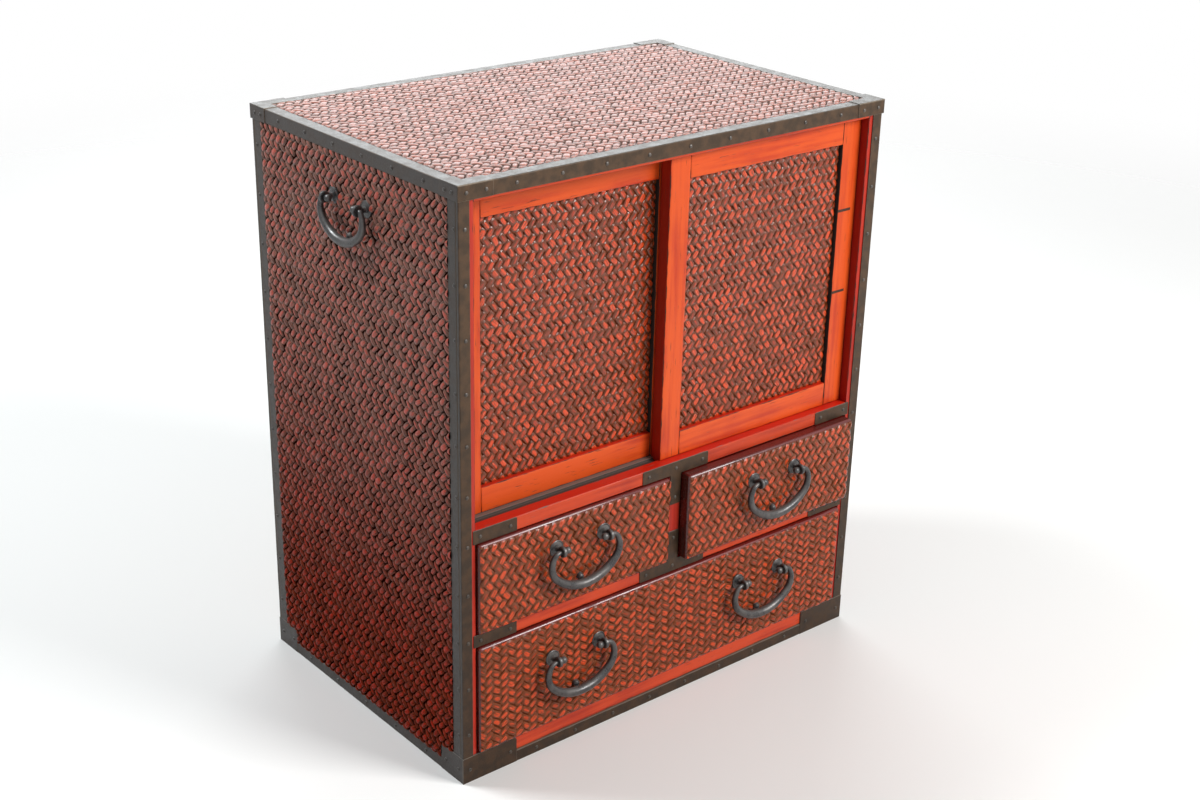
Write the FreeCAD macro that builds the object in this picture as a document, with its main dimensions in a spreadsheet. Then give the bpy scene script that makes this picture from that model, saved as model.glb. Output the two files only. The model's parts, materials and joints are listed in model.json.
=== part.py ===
"""Tansu chest: a woven, iron-bound cabinet with two sliding doors, three drawers and six bail handles.

Millimetres, +Z up. The front looks along -Y. The origin is on the floor under the middle of the case.
"""
import FreeCAD
import Part
import math
import os
import re

from FreeCAD import Placement, Rotation, Vector

SIZES = {
    # case, measured over the iron straps
    "case_width": 606.0,
    "case_depth": 395.0,
    "case_height": 690.0,
    # boards
    "side_board": 18.0,
    "top_board": 10.0,
    "bottom_board": 15.0,
    "back_board": 8.0,
    "sill_board": 16.0,
    "shelf_board": 15.0,
    "divider_board": 18.0,
    "bottom_rail_depth": 24.0,
    "runner_width": 20.0,
    "head_rail_height": 8.0,
    "head_rail_depth": 60.0,
    # levels above the floor
    "door_sill_level": 311.0,
    "drawer_shelf_level": 184.0,
    "drawer_floor_level": 33.0,
    # woven skins
    "weave_gauge": 1.6,
    # iron straps, caps and plates
    "strap_gauge": 1.6,
    "strap_width": 16.0,
    "base_strap_width": 14.0,
    "top_cap_gauge": 0.8,
    "top_cap_front": 42.0,
    "top_cap_side": 30.0,
    "base_cap_gauge": 2.0,
    "base_cap_front": 74.0,
    "base_cap_side": 42.0,
    "base_cap_height": 32.5,
    "plate_gauge": 1.2,
    "end_plate_length": 58.0,
    "tee_bar_length": 100.0,
    "tee_stem_length": 38.0,
    "tee_stem_width": 16.0,
    "nail_radius": 1.8,
    "nail_height": 0.7,
    "nail_pitch": 58.0,
    # sliding doors
    "door_recess": 13.0,
    "door_thickness": 16.0,
    "track_gap": 2.0,
    "door_overlap": 29.0,
    "door_clearance": 0.3,
    "stile_width": 29.0,
    "door_rail_width": 29.5,
    "tongue_thickness": 8.0,
    "tongue_clearance": 0.3,
    "sill_tongue": 2.6,
    "head_tongue": 4.6,
    "panel_board": 4.0,
    "panel_setback": 5.0,
    "panel_tongue": 5.0,
    "panel_clearance": 0.2,
    # drawers
    "drawer_proud": 5.0,
    "right_drawer_pull": 9.0,
    "drawer_front": 18.0,
    "drawer_side": 9.0,
    "drawer_back": 9.0,
    "drawer_bottom": 6.0,
    "drawer_bottom_rise": 3.0,
    "drawer_side_drop": 6.0,
    "drawer_room": 30.8,
    "drawer_gap": 1.0,
    "slide_gap": 0.3,
    # bail handles
    "small_handle_rise": 76.0,
    "wide_handle_rise": 89.0,
    "wide_handle_spacing": 288.0,
    "wide_handle_shift": 5.5,
    "carry_handle_drop": 64.0,
    "carry_handle_shift": 3.0,
    "drawer_post_spacing": 67.0,
    "carry_post_spacing": 64.0,
    "eye_standoff": 12.0,
    "eye_radius": 6.5,
    "eye_thickness": 4.0,
    "eye_gap": 0.4,
    "neck_radius": 3.6,
    "neck_reach": 1.0,
    "leg_radius": 2.2,
    "leg_clearance": 0.1,
    "leg_tail": 2.0,
    "rosette_radius": 9.5,
    "rosette_height": 2.5,
    "strike_radius": 5.0,
    "strike_height": 6.0,
    "strike_rise": 4.0,
    "pin_radius": 2.5,
    "pin_clearance": 0.1,
    "pin_lead": 1.0,
    "knob_radius": 4.2,
    "bail_radius": 4.8,
    "drawer_bail_corner": 9.5,
    "drawer_bail_shoulder": 22.5,
    "carry_bail_corner": 3.2,
    "carry_bail_shoulder": 21.0,
    # turns of the bail's corner and shoulder, in degrees
    "corner_turn": 60.0,
    "shoulder_turn": 75.0,
}

DOC = FreeCAD.newDocument("TansuChest")
SHEET = DOC.addObject("Spreadsheet::Sheet", "Sizes")
for row, (alias, number) in enumerate(SIZES.items(), start=1):
    SHEET.set(f"A{row}", alias)
    SHEET.set(f"B{row}", str(number))
    SHEET.setAlias(f"B{row}", alias)
DOC.recompute()

NODES = []

# planes of the case, as expressions of the sizes
OUTER_X = "case_width / 2"
FRONT = "-case_depth / 2"
BACK = "case_depth / 2"
WOOD_X = "(case_width / 2 - strap_gauge)"
WOOD_FRONT = "(-case_depth / 2 + strap_gauge)"
WOOD_BACK = "(case_depth / 2 - strap_gauge)"
WOOD_TOP = "(case_height - strap_gauge)"
INNER_X = f"({WOOD_X} - side_board)"
INNER_BACK = f"({WOOD_BACK} - back_board)"
SIDE_TOP = f"({WOOD_TOP} - top_board)"
HEAD = f"({SIDE_TOP} - head_rail_height)"
STRAP_FOOT = "(case_height - strap_width)"
CARRY_LEVEL = "(case_height - carry_handle_drop)"
CARRY_Y = "(-carry_handle_shift)"

# turn of a bail's bow from the pin to where its lowest arc begins
BOW_TURN = "(corner_turn + shoulder_turn)"

UPRIGHT = Rotation()
OUTWARD = Rotation(Vector(1, 0, 0), 90)
SIDEWAYS = Rotation(Vector(0, 1, 0), 90)
FACING_LEFT = Rotation(Vector(0, 0, 1), -90)
FACING_RIGHT = Rotation(Vector(0, 0, 1), 90)


def bound(text):
    """Expression in which every size name points at its cell of the sheet."""
    return re.sub(r"[a-z_]+", lambda word: f"Sizes.{word[0]}" if word[0] in SIZES else word[0], text)


def value(text):
    """Number that an expression of the sizes gives."""
    return float(SHEET.evalExpression(bound(text)))


def node(piece, label):
    """Names a finished sub-part and lists it for writing."""
    piece.Label = label
    NODES.append(piece)
    return piece


def placed(piece, x, y, z, turn=UPRIGHT):
    """Puts a piece at a point given as three expressions, turned by a fixed rotation."""
    piece.Placement = Placement(Vector(), turn)
    for axis, place in zip("xyz", (x, y, z)):
        piece.setExpression(f"Placement.Base.{axis}", bound(place))
    return piece


def block(x_span, y_span, z_span):
    """Box between a low and a high expression on each axis."""
    box = DOC.addObject("Part::Box", "Block")
    spans = (x_span, y_span, z_span)
    for side, (low, high) in zip(("Length", "Width", "Height"), spans):
        box.setExpression(side, bound(f"({high}) - ({low})"))
    return placed(box, *(low for low, high in spans))


def rod(x, y, z, turn, radius, length):
    """Cylinder from a point along the turned Z axis."""
    cylinder = DOC.addObject("Part::Cylinder", "Rod")
    cylinder.setExpression("Radius", bound(radius))
    cylinder.setExpression("Height", bound(length))
    return placed(cylinder, x, y, z, turn)


def dome(x, y, z, radius, height):
    """Spherical cap that stands out from a face towards -Y, its base circle centred on the point."""
    sphere_radius = f"(({radius}) ^ 2 + ({height}) ^ 2) / (2 * {height})"
    cap = DOC.addObject("Part::Sphere", "Dome")
    cap.setExpression("Radius", bound(sphere_radius))
    cap.setExpression("Angle1", bound(f"asin(1 - {height} / ({sphere_radius}))"))
    return placed(cap, x, f"{y} + {sphere_radius} - {height}", z, OUTWARD)


def group(pieces):
    """Separate solids kept as one object."""
    compound = DOC.addObject("Part::Compound", "Group")
    compound.Links = pieces
    return compound


def joined(pieces):
    """One solid from pieces that touch or overlap."""
    fusion = DOC.addObject("Part::MultiFuse", "Joined")
    fusion.Shapes = pieces
    return fusion


def cut(base, tools):
    """Base with all the tools taken away."""
    result = DOC.addObject("Part::Cut", "Cut")
    result.Base = base
    result.Tool = tools[0] if len(tools) == 1 else group(tools)
    return result


def shaped(shape):
    """Object for a shape that no primitive gives."""
    feature = DOC.addObject("Part::Feature", "Shaped")
    feature.Shape = shape
    return feature


def mirrored_span(span, side):
    """Span on one side of the middle plane: side -1 is the left, +1 the right."""
    low, high = span
    return span if side > 0 else (f"-({high})", f"-({low})")


def door_front(track):
    """Front face of the door in a track: 0 is the front track, 1 the rear one."""
    return f"({FRONT} + door_recess + {track} * (door_thickness + track_gap))"


def tongue_span(track, clearance="0"):
    """Depth span of a door's tongue, widened by a clearance for its groove."""
    middle = f"({door_front(track)} + door_thickness / 2)"
    half = f"(tongue_thickness / 2 + {clearance})"
    return (f"{middle} - {half}", f"{middle} + {half}")


def make_boards():
    """Wooden boards of the case."""
    across = (f"-{INNER_X}", INNER_X)
    depth = (WOOD_FRONT, INNER_BACK)
    node(block((f"-{WOOD_X}", WOOD_X), (WOOD_FRONT, WOOD_BACK), (SIDE_TOP, WOOD_TOP)), "top_board")
    node(block(across, depth, ("0", "bottom_board")), "bottom_board")
    node(block(across, (INNER_BACK, WOOD_BACK), ("0", SIDE_TOP)), "back_board")
    rail_back = f"({WOOD_FRONT} + bottom_rail_depth)"
    runner_height = ("bottom_board", "drawer_floor_level")
    node(block(across, (WOOD_FRONT, rail_back), runner_height), "bottom_rail")
    runner_x = (f"{INNER_X} - runner_width", INNER_X)
    runners = [
        block(mirrored_span(runner_x, side), (rail_back, INNER_BACK), runner_height) for side in (-1, 1)
    ]
    node(group(runners), "drawer_runners")
    shelf = ("drawer_shelf_level - shelf_board", "drawer_shelf_level")
    node(block(across, depth, shelf), "drawer_shelf")
    between = ("drawer_shelf_level", "door_sill_level - sill_board")
    node(block(("-divider_board / 2", "divider_board / 2"), depth, between), "drawer_divider")
    for name, side in (("left", -1), ("right", 1)):
        board = block(mirrored_span((INNER_X, WOOD_X), side), (WOOD_FRONT, WOOD_BACK), ("0", SIDE_TOP))
        outer_face = WOOD_X if side > 0 else f"-{WOOD_X}"
        node(cut(board, side_leg_holes(outer_face)), f"{name}_side_board")


def make_tracks():
    """Sill shelf and head rail with the grooves that the doors' tongues run in."""
    across = (f"-{INNER_X}", INNER_X)
    sill = block(across, (WOOD_FRONT, INNER_BACK), ("door_sill_level - sill_board", "door_sill_level"))
    rail = block(across, (WOOD_FRONT, f"{WOOD_FRONT} + head_rail_depth"), (HEAD, SIDE_TOP))
    sill_floor = "door_sill_level + door_clearance - sill_tongue - tongue_clearance"
    head_roof = f"{HEAD} - door_clearance + head_tongue + tongue_clearance"
    spans = [tongue_span(track, "tongue_clearance") for track in (0, 1)]
    sill_grooves = [block(across, span, (sill_floor, "door_sill_level")) for span in spans]
    head_grooves = [block(across, span, (HEAD, head_roof)) for span in spans]
    node(cut(sill, sill_grooves), "door_sill_shelf")
    node(cut(rail, head_grooves), "door_head_rail")


def make_skins():
    """Woven skins of the top and sides, inside the straps and clear of the base caps."""
    edge_x = f"({OUTER_X} - strap_width)"
    edge_y = f"({BACK} - strap_width)"
    top = ((f"-{edge_x}", edge_x), (f"-{edge_y}", edge_y), (WOOD_TOP, f"{WOOD_TOP} + weave_gauge"))
    node(block(*top), "top_weave")
    for name, side in (("left", -1), ("right", 1)):
        outer = mirrored_span((WOOD_X, f"{WOOD_X} + weave_gauge"), side)
        skin = block(outer, (f"-{edge_y}", edge_y), ("base_strap_width", STRAP_FOOT))
        inner_edge = f"({BACK} - base_cap_side)"
        caps = [
            block(outer, span, ("base_strap_width", "base_cap_height"))
            for span in ((f"-{edge_y}", f"-{inner_edge}"), (inner_edge, edge_y))
        ]
        face = f"{WOOD_X} + weave_gauge" if side > 0 else f"-({WOOD_X} + weave_gauge)"
        node(cut(skin, caps + side_leg_holes(face)), f"{name}_side_weave")


def make_top_straps():
    """Angle straps along the four top edges."""
    straps = []
    flange_z = (WOOD_TOP, "case_height")
    drop_z = (STRAP_FOOT, WOOD_TOP)
    full_x = (f"-{OUTER_X}", OUTER_X)
    for front in (-1, 1):
        flange = block(full_x, mirrored_span((f"{BACK} - strap_width", BACK), front), flange_z)
        drop = block(full_x, mirrored_span((WOOD_BACK, BACK), front), drop_z)
        straps.append(joined([flange, drop]))
    inner_y = f"({BACK} - strap_width)"
    for side in (-1, 1):
        flange_x = mirrored_span((f"{OUTER_X} - strap_width", OUTER_X), side)
        flange = block(flange_x, (f"-{inner_y}", inner_y), flange_z)
        drop = block(mirrored_span((WOOD_X, OUTER_X), side), (WOOD_FRONT, WOOD_BACK), drop_z)
        straps.append(joined([flange, drop]))
    node(group(straps), "top_edge_straps")


def angle_plates(face_x, face_y, reach_x, reach_y, gauge, z_span):
    """Four upright angle plates at the corners of the case, seated on the given faces."""
    plates = []
    for side in (-1, 1):
        for front in (-1, 1):
            outer_x = mirrored_span((reach_x, f"{face_x} + {gauge}"), side)
            leaf_y = mirrored_span((face_y, f"{face_y} + {gauge}"), front)
            leaf_x = mirrored_span((face_x, f"{face_x} + {gauge}"), side)
            side_y = mirrored_span((reach_y, face_y), front)
            plates.append(joined([block(outer_x, leaf_y, z_span), block(leaf_x, side_y, z_span)]))
    return group(plates)


def make_corner_irons():
    """Upright straps, and the caps at the top and bottom corners."""
    upright_z = ("base_cap_height", STRAP_FOOT)
    uprights = angle_plates(
        WOOD_X, WOOD_BACK, f"{OUTER_X} - strap_width", f"{BACK} - strap_width", "strap_gauge", upright_z
    )
    node(uprights, "upright_edge_straps")
    base_caps = angle_plates(
        WOOD_X,
        WOOD_BACK,
        f"{OUTER_X} - base_cap_front",
        f"{BACK} - base_cap_side",
        "base_cap_gauge",
        ("0", "base_cap_height"),
    )
    node(base_caps, "base_corner_caps")
    top_caps = angle_plates(
        OUTER_X,
        BACK,
        f"{OUTER_X} - top_cap_front",
        f"{BACK} - top_cap_side",
        "top_cap_gauge",
        (STRAP_FOOT, "case_height"),
    )
    node(top_caps, "top_corner_caps")


def make_base_straps():
    """Flat straps along the foot of the case, between the corner caps."""
    straps = []
    reach_x = f"({OUTER_X} - base_cap_front)"
    reach_y = f"({BACK} - base_cap_side)"
    height = ("0", "base_strap_width")
    for end in (-1, 1):
        straps.append(block((f"-{reach_x}", reach_x), mirrored_span((WOOD_BACK, BACK), end), height))
        straps.append(block(mirrored_span((WOOD_X, OUTER_X), end), (f"-{reach_y}", reach_y), height))
    node(group(straps), "base_edge_straps")


def make_front_plates():
    """Rail end plates, and the two T plates where the divider meets the rails."""
    leaf = (f"{WOOD_FRONT} - plate_gauge", WOOD_FRONT)
    sill = ("door_sill_level - sill_board", "door_sill_level")
    shelf = ("drawer_shelf_level - shelf_board", "drawer_shelf_level")
    inner = f"({OUTER_X} - strap_width)"
    ends = [
        block(mirrored_span((f"{inner} - end_plate_length", inner), side), leaf, rail)
        for rail in (sill, shelf)
        for side in (-1, 1)
    ]
    node(group(ends), "rail_end_plates")
    bar_x = ("-tee_bar_length / 2", "tee_bar_length / 2")
    stem_x = ("-tee_stem_width / 2", "tee_stem_width / 2")
    upper_stem = block(stem_x, leaf, (f"{sill[0]} - tee_stem_length", sill[0]))
    lower_stem = block(stem_x, leaf, (shelf[1], f"{shelf[1]} + tee_stem_length"))
    tees = [joined([block(bar_x, leaf, sill), upper_stem]), joined([block(bar_x, leaf, shelf), lower_stem])]
    node(group(tees), "tee_plates")


def nail_row(start, end):
    """Places of the nails between two points, about one pitch apart and half a pitch in from the ends."""
    run = end - start
    count = max(1, round(run.Length / value("nail_pitch")))
    return [start + run * ((index + 0.5) / count) for index in range(count)]


def make_nails():
    """Heads of all the nails that hold the straps, seated on the iron."""
    half_x, half_y = value(OUTER_X), value(BACK)
    centre = value("strap_width") / 2
    top = value("case_height") - centre
    base = value("base_strap_width") / 2
    foot, head = value("base_cap_height"), value(STRAP_FOOT)
    cap_x, cap_y = half_x - value("base_cap_front"), half_y - value("base_cap_side")
    strap_x, strap_y = half_x - value("top_cap_front"), half_y - value("top_cap_side")
    heads = []

    def drive(points, outward):
        radius, height = value("nail_radius"), value("nail_height")
        heads.extend(Part.makeCylinder(radius, height, point, outward) for point in points)

    for end in (-1, 1):
        face_y, face_x = Vector(0, end, 0), Vector(end, 0, 0)
        drive(nail_row(Vector(-strap_x, end * half_y, top), Vector(strap_x, end * half_y, top)), face_y)
        drive(nail_row(Vector(end * half_x, -strap_y, top), Vector(end * half_x, strap_y, top)), face_x)
        drive(nail_row(Vector(-cap_x, end * half_y, base), Vector(cap_x, end * half_y, base)), face_y)
        drive(nail_row(Vector(end * half_x, -cap_y, base), Vector(end * half_x, cap_y, base)), face_x)
        for side in (-1, 1):
            x, y = side * (half_x - centre), side * (half_y - centre)
            drive(nail_row(Vector(x, end * half_y, foot), Vector(x, end * half_y, head)), face_y)
            drive(nail_row(Vector(end * half_x, y, foot), Vector(end * half_x, y, head)), face_x)
    node(shaped(Part.makeCompound(heads)), "strap_nails")


def make_door(name, left_edge, track):
    """Sliding door: stiles and rails grooved for a panel that carries a woven skin."""
    right_edge = f"({left_edge} + {INNER_X} + door_overlap / 2 - door_clearance)"
    front = door_front(track)
    depth = (front, f"{front} + door_thickness")
    low, high = "(door_sill_level + door_clearance)", f"({HEAD} - door_clearance)"
    opening_x = (f"({left_edge} + stile_width)", f"({right_edge} - stile_width)")
    opening_z = (f"({low} + door_rail_width)", f"({high} - door_rail_width)")
    board_front = f"({front} + panel_setback + weave_gauge)"
    panel_y = (board_front, f"{board_front} + panel_board")
    panel_x = (f"{opening_x[0]} - panel_tongue", f"{opening_x[1]} + panel_tongue")
    panel_z = (f"{opening_z[0]} - panel_tongue", f"{opening_z[1]} + panel_tongue")
    panel = (panel_x, panel_y, panel_z)
    groove = block(*((f"{low_end} - panel_clearance", f"{high_end} + panel_clearance")
                     for low_end, high_end in panel))
    foot = (f"{low} - sill_tongue", low)
    head = (high, f"{high} + head_tongue")
    tongue = tongue_span(track)
    stiles = [
        joined([block(x, depth, (low, high)), block(x, tongue, foot), block(x, tongue, head)])
        for x in ((left_edge, opening_x[0]), (opening_x[1], right_edge))
    ]
    rails = [
        joined([block(opening_x, depth, (low, opening_z[0])), block(opening_x, tongue, foot)]),
        joined([block(opening_x, depth, (opening_z[1], high)), block(opening_x, tongue, head)]),
    ]
    node(cut(group(stiles), [groove]), f"{name}_door_stiles")
    node(cut(group(rails), [groove]), f"{name}_door_rails")
    node(block(panel_x, panel_y, panel_z), f"{name}_door_panel")
    skin_x, skin_z = (
        (f"{low_end} + panel_clearance", f"{high_end} - panel_clearance")
        for low_end, high_end in (opening_x, opening_z)
    )
    node(block(skin_x, (f"{front} + panel_setback", board_front), skin_z), f"{name}_door_weave")


def front_leg_holes(x, y, z):
    """Holes for the legs of a drawer handle's posts, through its front."""
    reach = "2 * drawer_front"
    centres = (f"{x} - drawer_post_spacing / 2", f"{x} + drawer_post_spacing / 2")
    radius = "leg_radius + leg_clearance"
    return [rod(centre, f"{y} + {reach}", z, OUTWARD, radius, f"2 * {reach}") for centre in centres]


def side_leg_holes(x):
    """Holes for the legs of a carrying handle's posts, through the side at x."""
    reach = "2 * side_board"
    centres = (f"{CARRY_Y} - carry_post_spacing / 2", f"{CARRY_Y} + carry_post_spacing / 2")
    radius = "leg_radius + leg_clearance"
    return [
        rod(f"{x} - {reach}", centre, CARRY_LEVEL, SIDEWAYS, radius, f"2 * {reach}") for centre in centres
    ]


def bow_start(kind):
    """Where the bow of a drawer or carry bail leaves its pin, measured from the middle."""
    return f"({kind}_post_spacing / 2 + eye_thickness / 2 + eye_gap + pin_lead)"


def bow_belly(kind):
    """Radius of the lowest arc, which closes the bow."""
    corner, shoulder = f"{kind}_bail_corner", f"{kind}_bail_shoulder"
    turned = f"({corner} - {shoulder}) * sin(corner_turn) + {shoulder} * sin({BOW_TURN})"
    return f"(({bow_start(kind)} + {turned}) / sin({BOW_TURN}))"


def bail_drop(kind):
    """How far the middle line of the bow hangs below the hinge."""
    corner, shoulder = f"{kind}_bail_corner", f"{kind}_bail_shoulder"
    arms = f"{corner} * (1 - cos(corner_turn)) + {shoulder} * (cos(corner_turn) - cos({BOW_TURN}))"
    return f"({arms} + {bow_belly(kind)} * (1 + cos({BOW_TURN})))"


def bail_shape(kind):
    """Bail hanging from a hinge on the X axis: pins with knobs, and a bow of tangent arcs thickest below."""
    radius, pin = value("bail_radius"), value("pin_radius")
    knob_x = value(f"{kind}_post_spacing / 2 - eye_thickness / 2 - eye_gap - knob_radius")
    start_x = value(bow_start(kind))
    turns = [math.radians(value(turn)) for turn in ("0", "corner_turn", BOW_TURN)] + [math.pi]
    radii = [value(arc) for arc in (f"{kind}_bail_corner", f"{kind}_bail_shoulder", bow_belly(kind))]
    here = Vector(start_x, 0, 0)
    half_bow = []
    for arc_radius, start, end in zip(radii, turns, turns[1:]):
        steps = [
            Vector(math.sin(turn) - math.sin(start), 0, math.cos(turn) - math.cos(start)) * arc_radius
            for turn in (start, (start + end) / 2, end)
        ]
        half_bow.append([here + step for step in steps])
        here = half_bow[-1][-1]
    other_half = [[Vector(-point.x, 0, point.z) for point in reversed(arc)] for arc in reversed(half_bow)]
    path = Part.Wire([Part.Arc(*arc).toShape() for arc in half_bow + other_half])
    rings = []
    for ring_radius, centre, turn in (
        (pin, Vector(start_x, 0, 0), 0),
        (radius, here, 180),
        (pin, Vector(-start_x, 0, 0), 0),
    ):
        ring = Part.makeCircle(ring_radius, Vector(), Vector(1, 0, 0))
        ring.rotate(Vector(), Vector(0, 1, 0), turn)
        ring.translate(centre)
        rings.append(Part.Wire(ring))
    bow = path.makePipeShell(rings, True, False)
    ends = []
    for side in (-1, 1):
        outward = Vector(side, 0, 0)
        ends.append(Part.makeSphere(value("knob_radius"), outward * knob_x, outward))
        ends.append(Part.makeCylinder(pin, start_x - knob_x, outward * knob_x, outward))
    return bow.fuse(ends).removeSplitter()


def make_bail(name, kind, x, y, z, turn=UPRIGHT):
    """Bail with its hinge at a point."""
    node(placed(shaped(bail_shape(kind)), x, y, z, turn), name)


def posts(kind, board):
    """Pair of eye posts around the hinge: eye, neck and a leg through the given board."""
    pair = []
    for side in ("-", ""):
        x = f"{side}{kind}_post_spacing / 2"
        seat = "eye_standoff - rosette_height"
        eye = rod(f"{x} - eye_thickness / 2", "0", "0", SIDEWAYS, "eye_radius", "eye_thickness")
        neck = rod(x, seat, "0", OUTWARD, "neck_radius", f"{seat} - eye_radius + neck_reach")
        tail = f"(eye_standoff + weave_gauge + {board} + leg_tail)"
        leg = rod(x, tail, "0", OUTWARD, "leg_radius", tail)
        bore_start = f"{x} - eye_thickness"
        bore = rod(bore_start, "0", "0", SIDEWAYS, "pin_radius + pin_clearance", "2 * eye_thickness")
        pair.append(cut(joined([eye, neck, leg]), [bore]))
    return pair


def seats(kind):
    """Pair of domed rosettes under the posts, and the strike stud behind the bail."""
    pair = []
    for side in ("-", ""):
        x = f"{side}{kind}_post_spacing / 2"
        cap = dome(x, "eye_standoff", "0", "rosette_radius", "rosette_height")
        hole = rod(x, "2 * eye_standoff", "0", OUTWARD, "leg_radius + leg_clearance", "2 * eye_standoff")
        pair.append(cut(cap, [hole]))
    strike_z = f"strike_rise - {bail_drop(kind)}"
    return pair + [dome("0", "eye_standoff", strike_z, "strike_radius", "strike_height")]


def make_drawer(name, x_span, z_span, pull, handles):
    """Drawer box with a woven front, and the posts and rosettes of its handles."""
    face = f"({FRONT} - drawer_proud - {pull})"
    board_front = f"({face} + weave_gauge)"
    box_front = f"({board_front} + drawer_front)"
    box_back = f"({INNER_BACK} - drawer_room - {pull})"
    low, high = z_span
    holes = [hole for x, z in handles for hole in front_leg_holes(x, face, z)]
    node(cut(block(x_span, (board_front, box_front), z_span), holes), f"{name}_drawer_front")
    node(cut(block(x_span, (face, board_front), z_span), holes), f"{name}_drawer_weave")
    inner = (f"{x_span[0]} + drawer_side", f"{x_span[1]} - drawer_side")
    side_top = f"{high} - drawer_side_drop"
    sides = [
        block(span, (box_front, box_back), (low, side_top))
        for span in ((x_span[0], inner[0]), (inner[1], x_span[1]))
    ]
    node(group(sides), f"{name}_drawer_sides")
    floor = f"({low} + drawer_bottom_rise + drawer_bottom)"
    bottom_z = (f"{low} + drawer_bottom_rise", floor)
    node(block(inner, (box_front, box_back), bottom_z), f"{name}_drawer_bottom")
    node(block(inner, (f"{box_back} - drawer_back", box_back), (floor, side_top)), f"{name}_drawer_back")
    hinge_y = f"{face} - eye_standoff"
    all_posts = [placed(group(posts("drawer", "drawer_front")), x, hinge_y, z) for x, z in handles]
    all_seats = [placed(group(seats("drawer")), x, hinge_y, z) for x, z in handles]
    node(group(all_posts), f"{name}_drawer_posts")
    node(group(all_seats), f"{name}_drawer_rosettes")
    return hinge_y


def make_drawers():
    """Two small drawers side by side, the right one a little open, above one wide drawer."""
    small_z = ("(drawer_shelf_level + slide_gap)", "(door_sill_level - sill_board - drawer_gap)")
    small_x = ("(divider_board / 2 + drawer_gap)", f"({INNER_X} - drawer_gap)")
    middle = f"({small_x[0]} + {small_x[1]}) / 2"
    small_level = "drawer_shelf_level + small_handle_rise"
    for name, side, pull in (("left", -1, "0"), ("right", 1, "right_drawer_pull")):
        x = f"{side} * {middle}"
        hinge_y = make_drawer(name, mirrored_span(small_x, side), small_z, pull, [(x, small_level)])
        make_bail(f"{name}_drawer_bail", "drawer", x, hinge_y, small_level)
    wide_x = (f"-({INNER_X} - drawer_gap)", f"({INNER_X} - drawer_gap)")
    shelf_foot = "drawer_shelf_level - shelf_board"
    wide_z = ("(drawer_floor_level + slide_gap)", f"({shelf_foot} - drawer_gap)")
    wide_level = "drawer_floor_level + wide_handle_rise"
    places = [
        ("left", "(-wide_handle_spacing / 2 - wide_handle_shift)"),
        ("right", "(wide_handle_spacing / 2 - wide_handle_shift)"),
    ]
    hinge_y = make_drawer("wide", wide_x, wide_z, "0", [(x, wide_level) for name, x in places])
    for name, x in places:
        make_bail(f"wide_drawer_{name}_bail", "drawer", x, hinge_y, wide_level)


def make_carry_handles():
    """Carrying handle on each side of the case."""
    all_posts, all_seats = [], []
    for name, sign, turn in (("left", "-", FACING_LEFT), ("right", "", FACING_RIGHT)):
        place = (f"{sign}({WOOD_X} + weave_gauge + eye_standoff)", CARRY_Y, CARRY_LEVEL, turn)
        all_posts.append(placed(group(posts("carry", "side_board")), *place))
        all_seats.append(placed(group(seats("carry")), *place))
        make_bail(f"{name}_carry_bail", "carry", *place)
    node(group(all_posts), "carry_posts")
    node(group(all_seats), "carry_rosettes")


def write_parts():
    """Checks every object, then writes each sub-part to its own file."""
    DOC.recompute()
    failed = [item.Name for item in DOC.Objects if {"Invalid", "Error"} & set(item.State)]
    bad = [piece.Label for piece in NODES if piece.Shape.isNull() or not piece.Shape.isValid()]
    if failed or bad:
        raise RuntimeError(f"objects not built: {failed}, shapes not valid: {bad}")
    os.makedirs("parts", exist_ok=True)
    for piece in NODES:
        piece.Shape.exportStep(f"parts/{piece.Label}.step")
        print(piece.Label, len(piece.Shape.Solids), round(piece.Shape.Volume, 1))


make_boards()
make_tracks()
make_skins()
make_top_straps()
make_corner_irons()
make_base_straps()
make_front_plates()
make_nails()
make_door("left", f"(-{INNER_X} + door_clearance)", 1)
make_door("right", "(-door_overlap / 2)", 0)
make_drawers()
make_carry_handles()
write_parts()
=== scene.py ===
"""Looks of a two-door tansu chest: woven bamboo, red lacquer and dark iron, in the part's own frame."""
import json
import logging
import math
import random
from collections.abc import Iterable, Sequence
from dataclasses import dataclass
from enum import Enum

import bmesh
import bpy
from mathutils import Matrix, Vector


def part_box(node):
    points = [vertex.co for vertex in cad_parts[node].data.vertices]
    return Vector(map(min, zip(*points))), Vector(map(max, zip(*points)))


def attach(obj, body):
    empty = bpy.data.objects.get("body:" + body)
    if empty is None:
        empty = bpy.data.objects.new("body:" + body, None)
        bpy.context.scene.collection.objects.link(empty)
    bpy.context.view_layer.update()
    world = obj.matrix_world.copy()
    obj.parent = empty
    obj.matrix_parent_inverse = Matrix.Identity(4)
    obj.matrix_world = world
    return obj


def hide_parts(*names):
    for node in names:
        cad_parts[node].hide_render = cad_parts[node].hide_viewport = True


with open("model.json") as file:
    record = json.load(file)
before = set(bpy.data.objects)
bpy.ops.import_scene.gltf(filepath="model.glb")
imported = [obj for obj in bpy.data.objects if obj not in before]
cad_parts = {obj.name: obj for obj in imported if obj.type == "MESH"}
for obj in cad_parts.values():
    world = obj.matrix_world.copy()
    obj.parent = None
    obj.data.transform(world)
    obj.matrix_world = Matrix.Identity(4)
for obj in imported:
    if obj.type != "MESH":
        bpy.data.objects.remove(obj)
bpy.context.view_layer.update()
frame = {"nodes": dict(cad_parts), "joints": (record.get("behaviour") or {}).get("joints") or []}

LOG = logging.getLogger("tansu_chest")

Colour = tuple[float, float, float, float]
Triple = tuple[float, float, float]
Span = tuple[float, float]
Shape = bmesh.types.BMesh
Vert = bmesh.types.BMVert
Edge = bmesh.types.BMEdge
Side = bmesh.types.BMFace
Material = bpy.types.Material
Socket = bpy.types.NodeSocket

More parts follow.
